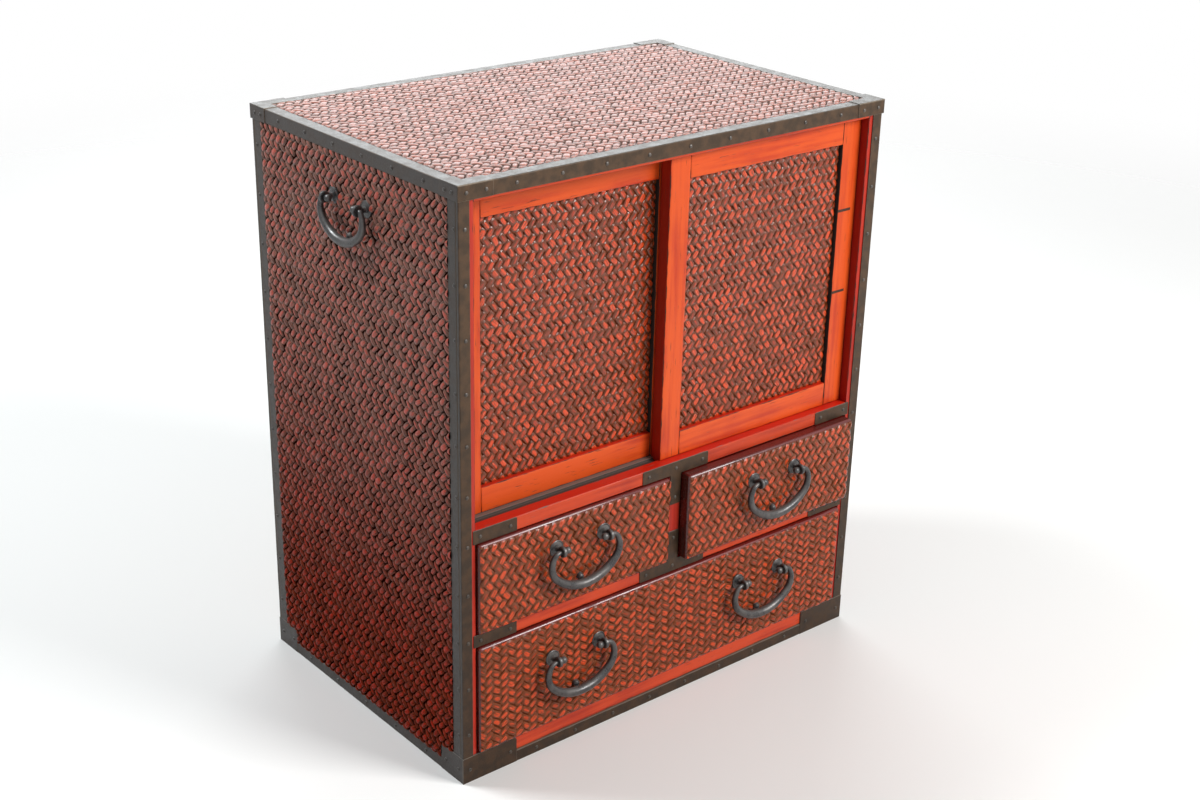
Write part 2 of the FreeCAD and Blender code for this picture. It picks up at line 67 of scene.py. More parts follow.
# Values that the meshes carry for their finishes, and a strip's place in the weave.
WEAR = "wear"
HEIGHT = "height"
TONE = "tone"
ALONG = "along"
ACROSS = "across"
COLUMN = "column"
LINE = "line"

# Wear of turned iron and of the rim of a board, then of lacquer that is dirty all over, then marks for grime
# with painted shade in a groove floor and for full painted shade.
HANDLED = 0.5
RUBBED = 1.0
GRIMY = 2.2
GRIMED_AND_SHADED = 3.3
FULLY_SHADED = 4.0

# Heights between which a finish changes from that of the foot to that of the upper case; the darker colour at
# the foot is painted shade.
LOW_TO_HIGH = (0.08, 0.60)

# How far a face has to look along an axis to take the colour painted for that side: painted shade on lacquer,
# and painted cool light or dust with painted reflection on iron.
FACING = (0.6, 0.95)

# Cosines past which two directions run alike or a face looks ahead, and below which they are square.
ALIKE = 0.99
AHEAD = 0.9
SQUARE = 0.1

# Distances within which places count as the same, points are merged and a cut takes a point as its own.
NEAR = 0.0001
MERGE = 1e-6
CUT = 1e-7

# Largest shares of a short side that a worn rim and a rounding take.
RIM_SHARE = 0.3
ROUND_SHARE = 0.25

# Rounding from which an edge takes more steps.
BROAD_ROUND = 0.002

# Width of a bar's outer rounding, and of the narrowest side that shows a worn rim, over its plain rounding.
OUTER_ROUND = 3
BROAD_SIDE = 6


class Slot(Enum):
    """Material slots of the part's record."""

    LACQUER = "lacquered_wood"
    PLAIN = "plain_wood"
    BAMBOO = "woven_bamboo"
    IRON = "iron"


class Grain(Enum):
    """Way the grain of a board runs, as the stretch of its pattern."""

    ACROSS = (0.06, 1.0, 1.0)
    DEEP = (1.0, 0.06, 1.0)
    UPRIGHT = (1.0, 1.0, 0.06)


class Face(Enum):
    """Side of the chest that a flat piece lies on: its across, up and outward directions."""

    FRONT = ((1, 0, 0), (0, 0, 1), (0, -1, 0))
    BACK = ((-1, 0, 0), (0, 0, 1), (0, 1, 0))
    LEFT = ((0, -1, 0), (0, 0, 1), (-1, 0, 0))
    RIGHT = ((0, 1, 0), (0, 0, 1), (1, 0, 0))
    TOP = ((1, 0, 0), (0, 1, 0), (0, 0, 1))

    @property
    def across(self) -> Vector:
        """Direction across the face."""
        return Vector(self.value[0])

    @property
    def up(self) -> Vector:
        """Direction up the face."""
        return Vector(self.value[1])

    @property
    def outward(self) -> Vector:
        """Direction out of the face."""
        return Vector(self.value[2])

    def point(self, across: float, up: float, out: float) -> Vector:
        """Point at distances across, up and out of the chest's middle."""
        return self.across * across + self.up * up + self.outward * out

    def spans(self, low: Vector, high: Vector) -> list[Span]:
        """Extents of a box across, up and out of this face."""
        ends = [sorted((low.dot(Vector(way)), high.dot(Vector(way)))) for way in self.value]
        return [(start, end) for start, end in ends]

    def frame_at(self, place: Vector) -> Matrix:
        """Placement that turns a piece modelled for the front to this face, at a place."""
        turn = Matrix((self.across, -self.outward, self.up)).transposed().to_4x4()
        return Matrix.Translation(place) @ turn


class Shader:
    """Material being put together, with the nodes that the finishes share."""

    def __init__(self, name: str) -> None:
        """Starts a material with one surface.

        Args:
            name: Name of the material.
        """
        self.material = bpy.data.materials.new(name)
        self.material.use_nodes = True
        self.tree = self.material.node_tree
        self.tree.nodes.clear()
        output = self.tree.nodes.new("ShaderNodeOutputMaterial")
        self.surface = self.tree.nodes.new("ShaderNodeBsdfPrincipled")
        self.tree.links.new(self.surface.outputs["BSDF"], output.inputs["Surface"])
        coordinates = self.tree.nodes.new("ShaderNodeTexCoord")
        self.place, self.normal = coordinates.outputs["Object"], coordinates.outputs["Normal"]

    def feed(self, socket: Socket, source: object) -> None:
        """Links a socket to another one, or sets its plain value.

        Args:
            socket: Input to feed.
            source: Output socket, or the value to set.
        """
        if isinstance(source, Socket):
            self.tree.links.new(source, socket)
        else:
            socket.default_value = source

    def stretched(self, stretch: Sequence[float]) -> Socket:
        """Object coordinates scaled along each axis.

        Args:
            stretch: Scale along X, Y and Z.

        Returns:
            The scaled coordinates.
        """
        node = self.tree.nodes.new("ShaderNodeMapping")
        self.feed(node.inputs["Vector"], self.place)
        self.feed(node.inputs["Scale"], stretch)
        return node.outputs["Vector"]

    def attribute(self, name: str) -> Socket:
        """Value that the mesh carries under a name.

        Args:
            name: Name of the value.

        Returns:
            The value.
        """
        node = self.tree.nodes.new("ShaderNodeAttribute")
        node.attribute_name = name
        return node.outputs["Fac"]

    def part(self, vector: Socket, axis: str) -> Socket:
        """One part of a vector.

        Args:
            vector: Vector to take apart.
            axis: X, Y or Z.

        Returns:
            The part along that axis.
        """
        node = self.tree.nodes.new("ShaderNodeSeparateXYZ")
        self.feed(node.inputs["Vector"], vector)
        return node.outputs[axis]

    def joined(self, x: object, y: object, z: object) -> Socket:
        """Vector of three values.

        Args:
            x: Part along X.
            y: Part along Y.
            z: Part along Z.

        Returns:
            The vector.
        """
        node = self.tree.nodes.new("ShaderNodeCombineXYZ")
        for socket, source in zip(node.inputs, (x, y, z)):
            self.feed(socket, source)
        return node.outputs["Vector"]

    def noise(self, vector: Socket, scale: float, detail: float = 2.0) -> Socket:
        """Cloudy pattern of a scale.

        Args:
            vector: Coordinates of the pattern.
            scale: Clouds per unit of the coordinates.
            detail: Finer layers in the clouds.

        Returns:
            Value of the pattern, about one half in the mean.
        """
        node = self.tree.nodes.new("ShaderNodeTexNoise")
        self.feed(node.inputs["Vector"], vector)
        self.feed(node.inputs["Scale"], scale)
        self.feed(node.inputs["Detail"], detail)
        return node.outputs["Fac"]

    def sum(self, kind: str, first: object, second: object = 0.0) -> Socket:
        """Outcome of one arithmetic step.

        Args:
            kind: Kind of step.
            first: First value.
            second: Second value, for a step that takes two.

        Returns:
            The outcome.
        """
        node = self.tree.nodes.new("ShaderNodeMath")
        node.operation = kind
        self.feed(node.inputs[0], first)
        self.feed(node.inputs[1], second)
        return node.outputs["Value"]

    def times(self, first: object, second: object) -> Socket:
        """Product of two values."""
        return self.sum("MULTIPLY", first, second)

    def mixed(self, parts: Iterable[tuple[object, float]]) -> Socket:
        """Sum of values, each times its weight.

        Args:
            parts: Values with their weights.

        Returns:
            The weighted sum.
        """
        terms = [self.times(value, weight) for value, weight in parts]
        total = terms[0]
        for term in terms[1:]:
            total = self.sum("ADD", total, term)
        return total

    def fade(self, value: object, start: float, end: float, low: float = 0.0, high: float = 1.0) -> Socket:
        """Smooth step of a value from low to high between two limits.

        Args:
            value: Value to step.
            start: Value at which the step begins.
            end: Value at which the step ends.
            low: Outcome before the step.
            high: Outcome after the step.

        Returns:
            The stepped value.
        """
        node = self.tree.nodes.new("ShaderNodeMapRange")
        node.interpolation_type = "SMOOTHSTEP"
        names = ("Value", "From Min", "From Max", "To Min", "To Max")
        for name, source in zip(names, (value, start, end, low, high)):
            self.feed(node.inputs[name], source)
        return node.outputs["Result"]

    def sideways(self, most: float) -> Socket:
        """Share, up to a most, on faces that look left or right."""
        return self.fade(self.sum("ABSOLUTE", self.part(self.normal, "X")), *FACING, 0.0, most)

    def upward(self, most: float) -> Socket:
        """Share, up to a most, on faces that look up."""
        return self.fade(self.part(self.normal, "Z"), *FACING, 0.0, most)

    def rising(self, low: float, high: float) -> Socket:
        """Value that goes from low at the foot to high at the upper case."""
        return self.fade(self.part(self.place, "Z"), *LOW_TO_HIGH, low, high)

    def blend(self, share: object, first: object, second: object, kind: str = "MIX") -> Socket:
        """Blend of two colours.

        Args:
            share: Share of the second colour.
            first: Colour below.
            second: Colour above.
            kind: Way of blending.

        Returns:
            The blended colour.
        """
        node = self.tree.nodes.new("ShaderNodeMix")
        node.data_type = "RGBA"
        node.blend_type = kind
        self.feed(node.inputs[0], share)
        self.feed(node.inputs[6], first)
        self.feed(node.inputs[7], second)
        return node.outputs[2]

    def finish(self, colour: object, roughness: object, height: object, depth: float) -> Material:
        """Puts colour, roughness and relief on the surface.

        Args:
            colour: Colour of the surface.
            roughness: Roughness of the surface.
            height: Relief, from 0 to 1.
            depth: Depth of the relief in metres.

        Returns:
            The finished material.
        """
        bump = self.tree.nodes.new("ShaderNodeBump")
        self.feed(bump.inputs["Height"], height)
        self.feed(bump.inputs["Distance"], depth)
        self.feed(self.surface.inputs["Base Color"], colour)
        self.feed(self.surface.inputs["Roughness"], roughness)
        self.feed(self.surface.inputs["Normal"], bump.outputs["Normal"])
        return self.material


@dataclass(frozen=True)
class Lacquer:
    """Old red lacquer on wood, streaked along the grain and rubbed dark at the edges, with painted shade on
    faces that look sideways or up and on faces marked as shaded.
    """

    grain: Grain
    name: str = "red lacquer"
    bright: Colour = (0.66, 0.080, 0.008, 1.0)
    deep: Colour = (0.46, 0.031, 0.004, 1.0)
    # Painted shade: a deeper red on faces that look left or right, and on faces that look up.
    side_shade: Colour = (0.26, 0.006, 0.004, 1.0)
    shelf: Colour = (0.56, 0.012, 0.004, 1.0)
    grime: Colour = (0.045, 0.020, 0.012, 1.0)
    # Near black of painted shade; in the groove floors it lies over grime.
    soot_and_shade: Colour = (0.012, 0.008, 0.006, 1.0)
    rub: float = 1.0
    sheen: float = 0.34
    dulling: float = 0.3
    gloss: float = 0.3
    cover: float = 0.85
    streak_scale: float = 140.0
    patch_scale: float = 11.0
    rag_scale: float = 60.0
    fleck_scale: float = 760.0
    tone_limits: Span = (0.30, 0.58)
    rub_limits: Span = (1.36, 1.56)
    fleck_limits: Span = (0.66, 0.76)
    dull_limits: Span = (0.3, 1.0)
    relief: float = 0.0004

    def material(self) -> Material:
        """Makes the material of this lacquer.

        Returns:
            The material.
        """
        shader = Shader(f"{self.name}, grain {self.grain.name.lower()}")
        grain = shader.stretched(self.grain.value)
        streaks = shader.noise(grain, self.streak_scale, 4.0)
        patches = shader.noise(shader.place, self.patch_scale, 4.0)
        tone = shader.fade(shader.mixed(((streaks, 0.55), (patches, 0.45))), *self.tone_limits)
        colour = shader.blend(tone, self.deep, self.bright)
        # Painted shade: faces that look sideways or up take a deeper red.
        colour = shader.blend(shader.sideways(self.cover), colour, self.side_shade)
        colour = shader.blend(shader.upward(self.cover), colour, self.shelf)
        ragged = shader.noise(shader.place, self.rag_scale, 5.0)
        wear = shader.attribute(WEAR)
        rubbed = shader.fade(shader.mixed(((wear, self.rub), (ragged, 1.1))), *self.rub_limits)
        flecks = shader.fade(shader.noise(grain, self.fleck_scale), *self.fleck_limits)
        bare = shader.sum("MAXIMUM", rubbed, shader.times(flecks, 0.75))
        colour = shader.blend(bare, colour, self.grime)
        # Painted shade: faces marked fully shaded turn near black, groove floors part way.
        colour = shader.blend(shader.fade(wear, GRIMY, FULLY_SHADED), colour, self.soot_and_shade)
        dulled = shader.mixed(((patches, 1.0), (bare, 0.5)))
        roughness = shader.fade(dulled, *self.dull_limits, self.sheen, self.sheen + self.dulling)
        relief = shader.mixed(((streaks, 0.6), (bare, -0.6)))
        shader.surface.inputs["Specular IOR Level"].default_value = self.gloss
        return shader.finish(colour, roughness, relief, self.relief)


@dataclass(frozen=True)
class Bamboo:
    """Split bamboo under dark lacquer that is worn red on the high spots, with pale scuffs that are partly a
    painted highlight, painted shade in the gaps between strips and painted shade toward the floor.
    """

    name: str
    worn: Colour = (0.64, 0.061, 0.011, 1.0)
    dull: Colour = (0.36, 0.028, 0.007, 1.0)
    ground: Colour = (0.150, 0.033, 0.009, 1.0)
    # Pale scuffs on the worn red, partly a painted highlight.
    scuff_and_highlight: Colour = (0.80, 0.36, 0.22, 1.0)
    # Painted shade in the gaps between strips, also on the sheet beneath.
    gap_shade: Colour = (0.085, 0.026, 0.012, 1.0)
    # Multiplier of the painted shade toward the floor.
    foot: Colour = (1.0, 0.92, 0.80, 1.0)
    bare: float = 0.76
    sheen: float = 0.12
    dulling: float = 0.08
    gloss: Span = (0.22, 0.48)
    gap: Span = (-0.10, 0.30)
    streak: Span = (0.85, 1.12)
    fibre_scale: Triple = (110.0, 900.0, 90.0)
    patch_scale: float = 24.0
    worn_limits: Span = (0.37, 0.49)
    red_limits: Span = (0.35, 0.85)
    streak_limits: Span = (0.38, 0.62)
    scuff_and_highlight_limits: Span = (0.66, 0.74)
    split_limits: Span = (0.48, 0.41)
    gloss_limits: Span = (0.1, 0.7)
    relief: float = 0.0004

    def material(self) -> Material:
        """Makes the material of this bamboo.

        Returns:
            The material.
        """
        shader = Shader(self.name)
        tone, rise = shader.attribute(TONE), shader.attribute(HEIGHT)
        ways = zip((shader.attribute(ALONG), shader.attribute(ACROSS), tone), self.fibre_scale)
        fibre = shader.noise(shader.joined(*(shader.times(way, scale) for way, scale in ways)), 1.0, 3.0)
        patches = shader.noise(shader.place, self.patch_scale, 3.0)
        level = shader.mixed(((rise, 1.0), (fibre, 0.36), (patches, 0.12), (tone, 0.12)))
        worn = shader.fade(level, *(self.bare + limit for limit in self.worn_limits))
        redness = shader.fade(shader.mixed(((tone, 0.5), (fibre, 0.8))), *self.red_limits)
        streaks = shader.fade(fibre, *self.streak_limits, *self.streak)
        streaked = shader.blend(1.0, self.ground, streaks, "MULTIPLY")
        colour = shader.blend(worn, streaked, shader.blend(redness, self.dull, self.worn))
        # Pale scuffs along the fibres of the worn red, partly a painted highlight.
        scuff_and_highlight_share = shader.times(shader.fade(fibre, *self.scuff_and_highlight_limits), worn)
        colour = shader.blend(shader.times(scuff_and_highlight_share, 0.5), colour, self.scuff_and_highlight)
        split = shader.times(shader.fade(fibre, *self.split_limits), worn)
        colour = shader.blend(shader.times(split, 0.8), colour, self.ground)
        # Painted shade where the strips lie low, in the gaps between them.
        colour = shader.blend(shader.fade(rise, *self.gap), self.gap_shade, colour)
        # Painted shade: the colour is multiplied darker toward the floor.
        colour = shader.blend(shader.rising(1.0, 0.0), colour, self.foot, "MULTIPLY")
        roughness = shader.fade(worn, 0.0, 1.0, self.sheen + self.dulling, self.sheen)
        gloss = shader.times(shader.rising(*self.gloss), shader.fade(rise, *self.gloss_limits))
        shader.feed(shader.surface.inputs["Specular IOR Level"], gloss)
        return shader.finish(colour, roughness, fibre, self.relief)


@dataclass(frozen=True)
class Iron:
    """Dark oiled iron, brown in the hollows and rubbed bright along its edges, partly as a painted highlight;
    painted shade toward the floor, painted cool light on faces that look sideways, and dust with painted
    reflection on faces that look up.
    """

    name: str
    dark: Colour = (0.041, 0.022, 0.009, 1.0)
    brown: Colour = (0.075, 0.039, 0.017, 1.0)
    bright: Colour = (0.20, 0.155, 0.11, 1.0)
    # Multiplier of the painted shade toward the floor.
    foot: Colour = (0.62, 0.56, 0.48, 1.0)
    # Pale grey of dust with a painted reflection on faces that look up, and cool grey of painted light on
    # faces that look left or right.
    dust_and_reflection: Colour = (0.160, 0.158, 0.152, 1.0)
    painted_side_tint: Colour = (0.042, 0.041, 0.042, 1.0)
    sheen: float = 0.40
    mottle: Span = (-0.06, 0.2)
    metal: float = 0.25
    gloss: float = 0.42
    rub: float = 0.75
    cover: float = 0.7
    cloud_scale: float = 90.0
    pit_scale: float = 520.0
    brown_limits: Span = (0.34, 0.66)
    rub_limits: Span = (0.85, 1.35)
    mottle_limits: Span = (0.3, 0.7)
    relief: float = 0.0003

    def material(self) -> Material:
        """Makes the material of this iron.

        Returns:
            The material.
        """
        shader = Shader(self.name)
        clouds = shader.noise(shader.place, self.cloud_scale, 6.0)
        pits = shader.noise(shader.place, self.pit_scale, 3.0)
        colour = shader.blend(shader.fade(clouds, *self.brown_limits), self.dark, self.brown)
        # Painted shade: darker toward the floor.
        colour = shader.blend(shader.rising(1.0, 0.0), colour, self.foot, "MULTIPLY")
        # Edges rubbed bright, partly a painted highlight.
        rubbed = shader.fade(shader.mixed(((shader.attribute(WEAR), 1.0), (clouds, 0.7))), *self.rub_limits)
        colour = shader.blend(shader.times(rubbed, self.rub), colour, self.bright)
        # Painted light: faces that look left or right turn cool grey.
        colour = shader.blend(shader.sideways(self.cover), colour, self.painted_side_tint)
        # Dust with a painted reflection: faces that look up turn pale grey.
        colour = shader.blend(shader.upward(self.cover), colour, self.dust_and_reflection)
        mottled = shader.mixed(((clouds, 0.5), (pits, 0.5)))
        roughness = shader.fade(mottled, *self.mottle_limits, *(self.sheen + step for step in self.mottle))
        shader.surface.inputs["Metallic"].default_value = self.metal
        shader.surface.inputs["Specular IOR Level"].default_value = self.gloss
        return shader.finish(colour, roughness, shader.mixed(((clouds, 0.6), (pits, 0.4))), self.relief)


@dataclass(frozen=True)
class StainedWood:
    """Plain stained wood of the parts that are seldom seen."""

    grain: Grain
    light: Colour = (0.20, 0.085, 0.040, 1.0)
    dark: Colour = (0.085, 0.032, 0.017, 1.0)
    line_scale: float = 180.0
    cloud_scale: float = 24.0
    tone_limits: Span = (0.34, 0.64)
    rub: float = 0.6
    rub_limits: Span = (1.2, 1.6)
    rough: Span = (0.50, 0.68)
    rough_limits: Span = (0.3, 0.7)
    relief: float = 0.0003

    def material(self) -> Material:
        """Makes the material of this wood.

        Returns:
            The material.
        """
        shader = Shader(f"stained wood, grain {self.grain.name.lower()}")
        grain = shader.stretched(self.grain.value)
        lines = shader.noise(grain, self.line_scale, 5.0)
        clouds = shader.noise(grain, self.cloud_scale, 3.0)
        tone = shader.mixed(((lines, 0.5), (clouds, 0.5)))
        colour = shader.blend(shader.fade(tone, *self.tone_limits), self.dark, self.light)
        rubbed = shader.fade(shader.mixed(((shader.attribute(WEAR), 1.0), (clouds, 0.9))), *self.rub_limits)
        colour = shader.blend(shader.times(rubbed, self.rub), colour, self.dark)
        return shader.finish(colour, shader.fade(lines, *self.rough_limits, *self.rough), lines, self.relief)


def unique(items: Iterable) -> list:
    """Items in their order, each of them once."""
    return list(dict.fromkeys(items))


def edges_at(verts: Iterable[Vert]) -> list[Edge]:
    """Edges that end at any of these vertices."""
    return unique(edge for vert in verts for edge in vert.link_edges)


def faces_at(verts: Iterable[Vert]) -> list[Side]:
    """Faces that have a corner at any of these vertices."""
    return unique(face for vert in verts for face in vert.link_faces)


def edges_between(verts: Sequence[Vert]) -> list[Edge]:
    """Edges that have both ends among these vertices."""
    members = set(verts)
    return [edge for edge in edges_at(verts) if members.issuperset(edge.verts)]


def only_verts(geometry: Iterable) -> list[Vert]:
    """Vertices among the outcome of an operator."""
    return [item for item in geometry if isinstance(item, Vert)]


def cut_whole(shape: Shape, point: Vector, normal: Vector, clear_outer: bool = False) -> None:
    """Cuts a whole shape along a plane.

    Args:
        shape: Shape to cut.
        point: Point of the plane.
        normal: Direction that the plane looks in.
        clear_outer: Whether what lies before the plane is taken off.
    """
    bmesh.ops.bisect_plane(
        shape, geom=shape.verts[:] + shape.edges[:] + shape.faces[:], dist=CUT, plane_co=point,
        plane_no=normal,
        clear_outer=clear_outer,
    )


def new_shape() -> Shape:
    """Starts an empty shape whose vertices carry their wear.

    Returns:
        The empty shape.
    """
    shape = bmesh.new()
    shape.verts.layers.float.new(WEAR)
    return shape


def rub_in(shape: Shape, faces: Iterable[Side], band: float) -> None:
    """Insets faces so that wear runs from their rims to a band inside.

    Args:
        shape: Shape that holds the faces.
        faces: Flat faces to inset.
        band: Width of the worn rim.
    """
    wear = shape.verts.layers.float[WEAR]
    for face in faces:
        short = min(edge.calc_length() for edge in face.edges)
        width = min(band, RIM_SHARE * short)
        bmesh.ops.inset_individual(shape, faces=[face], thickness=width, use_even_offset=True)
        for vert in face.verts:
            vert[wear] = 0.0


def soften(shape: Shape, edges: Sequence[Edge], width: float, steps: int = 2) -> None:
    """Rounds edges over a width."""
    bmesh.ops.bevel(
        shape, geom=list(edges), offset=width, offset_type="OFFSET", segments=steps, profile=0.5,
        affect="EDGES", material=-1, clamp_overlap=True,
    )


def add_block(shape: Shape, low: Vector, high: Vector, edge: float = 0.0008, band: float = 0.004) -> None:
    """Adds a board with softened edges that are worn along their rims.

    Args:
        shape: Shape to add to.
        low: Lowest corner.
        high: Highest corner.
        edge: Width of the rounding.
        band: Width of the worn rim.
    """
    wear = shape.verts.layers.float[WEAR]
    verts = bmesh.ops.create_cube(shape, size=1.0)["verts"]
    size = high - low
    bmesh.ops.scale(shape, vec=size, verts=verts)
    bmesh.ops.translate(shape, vec=(low + high) / 2, verts=verts)
    for vert in verts:
        vert[wear] = RUBBED
    edges = edges_at(verts)
    rub_in(shape, faces_at(verts), band)
    soften(shape, edges, min(edge, ROUND_SHARE * min(size)), 2 if edge < BROAD_ROUND else 4)


def add_bar(shape: Shape, outline: Sequence[Vector], run: Vector) -> list[Vert]:
    """Adds a bar of a flat outline drawn out along a run.

    Args:
        shape: Shape to add to.
        outline: Corners of the section.
        run: Length and direction of the bar.

    Returns:
        Vertices of the start and then of the end of the bar.
    """
    wear = shape.verts.layers.float[WEAR]
    start = [shape.verts.new(corner) for corner in outline]
    section = shape.faces.new(start)
    end = only_verts(bmesh.ops.extrude_face_region(shape, geom=[section], use_keep_orig=True)["geom"])
    bmesh.ops.translate(shape, vec=run, verts=end)
    for vert in start + end:
        vert[wear] = RUBBED
    bmesh.ops.recalc_face_normals(shape, faces=faces_at(start + end))
    return start + end


def add_profile(shape: Shape, outline: Sequence[Vector], run: Vector, edge: float, band: float) -> None:
    """Adds a bar with softened long edges and worn rims on its broad sides.

    Args:
        shape: Shape to add to.
        outline: Corners of the section; the first one is the outer corner, which is rounded more.
        run: Length and direction of the bar.
        edge: Width of the rounding.
        band: Width of the worn rim.
    """
    verts = add_bar(shape, outline, run)
    way = run.normalized()
    lengths = {e: (e.verts[1].co - e.verts[0].co).normalized() for e in edges_at(verts)}
    long_edges = [e for e, direction in lengths.items() if abs(direction.dot(way)) > ALIKE]
    corner = [e for e in long_edges if verts[0] in e.verts]
    others = [e for e in long_edges if e not in corner]
    sides = [face for face in faces_at(verts) if abs(face.normal.dot(way)) < SQUARE]
    broad = [face for face in sides if min(e.calc_length() for e in face.edges) > BROAD_SIDE * edge]
    rub_in(shape, broad, band)
    soften(shape, corner, OUTER_ROUND * edge, 3)
    soften(shape, [e for e in others if e.is_valid], edge, 1)


def add_plate(
    shape: Shape, face: Face, outline: Sequence[Span], level: float, gauge: float, edge: float = 0.0004,
    band: float = 0.0014,
) -> None:
    """Adds a flat plate with a worn, softened rim.

    Args:
        shape: Shape to add to.
        face: Side of the chest that it lies on.
        outline: Corners across and up the face.
        level: Distance of its outer plane from the chest's middle.
        gauge: Thickness.
        edge: Width of the rounding.
        band: Width of the worn rim.
    """
    corners = [face.point(across, up, level) for across, up in outline]
    verts = add_bar(shape, corners, face.outward * -gauge)[: len(corners)]
    rim = edges_between(verts)
    outer = [side for side in verts[0].link_faces if side.normal.dot(face.outward) > AHEAD]
    rub_in(shape, outer, band)
    soften(shape, rim, edge)


def add_turned(
    shape: Shape, profile: Sequence[Span], place: Matrix, steps: int, closed: bool = False
) -> None:
    """Adds a piece turned about the Y axis of its placement.

    Args:
        shape: Shape to add to.
        profile: Radius and distance along the axis of each point.
        place: Placement of the piece.
        steps: Steps of the turn.
        closed: Whether the profile joins up into a ring.
    """
    wear = shape.verts.layers.float[WEAR]
    verts = [shape.verts.new((radius, along, 0.0)) for radius, along in profile]
    nexts = verts[1:] + verts[:1] if closed else verts[1:]
    edges = [shape.edges.new(pair) for pair in zip(verts, nexts)]
    before = set(shape.verts)
    bmesh.ops.spin(
        shape, geom=verts + edges, cent=(0, 0, 0), axis=(0, 1, 0), angle=math.tau, steps=steps, use_merge=True
    )
    turned = verts + [vert for vert in shape.verts if vert not in before]
    turned = [vert for vert in turned if vert.is_valid]
    bmesh.ops.remove_doubles(shape, verts=turned, dist=MERGE)
    turned = [vert for vert in turned if vert.is_valid]
    for vert in turned:
        vert[wear] = HANDLED
    bmesh.ops.recalc_face_normals(shape, faces=faces_at(turned))
    bmesh.ops.transform(shape, matrix=place, verts=turned)


def fit_piece(
    shape: Shape, node: str, body: str, material: Material, crease: float = 32.0
) -> None:
    """Makes a finished shape the piece of the chest that stands for a CAD node.

    Args:
        shape: Finished shape, which is used up.
        node: CAD node that the piece stands for.
        body: Body that it moves with.
        material: Finish.
        crease: Angle in degrees past which an edge stays sharp.
    """
    mesh = bpy.data.meshes.new(f"{node}_look")
    shape.to_mesh(mesh)
    shape.free()
    mesh.shade_smooth()
    mesh.set_sharp_from_angle(angle=math.radians(crease))
    mesh.materials.append(material)
    piece = bpy.data.objects.new(mesh.name, mesh)
    bpy.context.scene.collection.objects.link(piece)
    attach(piece, body)
    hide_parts(node)
    LOG.info("%s: %d faces on %s", piece.name, len(mesh.polygons), body)


# Half of a strip's section from its middle to its edge: share of its width, and of its drop.
STRIP_SECTION = ((0.0, 0.0), (0.30, 0.36), (0.455, 1.0), (0.5, 1.0))

# Columns and lines by which the strips that lean back are set off from those that lean forward.
HALF_STEP = 0.5


@dataclass(frozen=True)
class StripHabit:
    """How one strip differs from an even weave."""

    turn: float
    longer: float
    wider: float
    slide: float
    lift: float
    tone: float


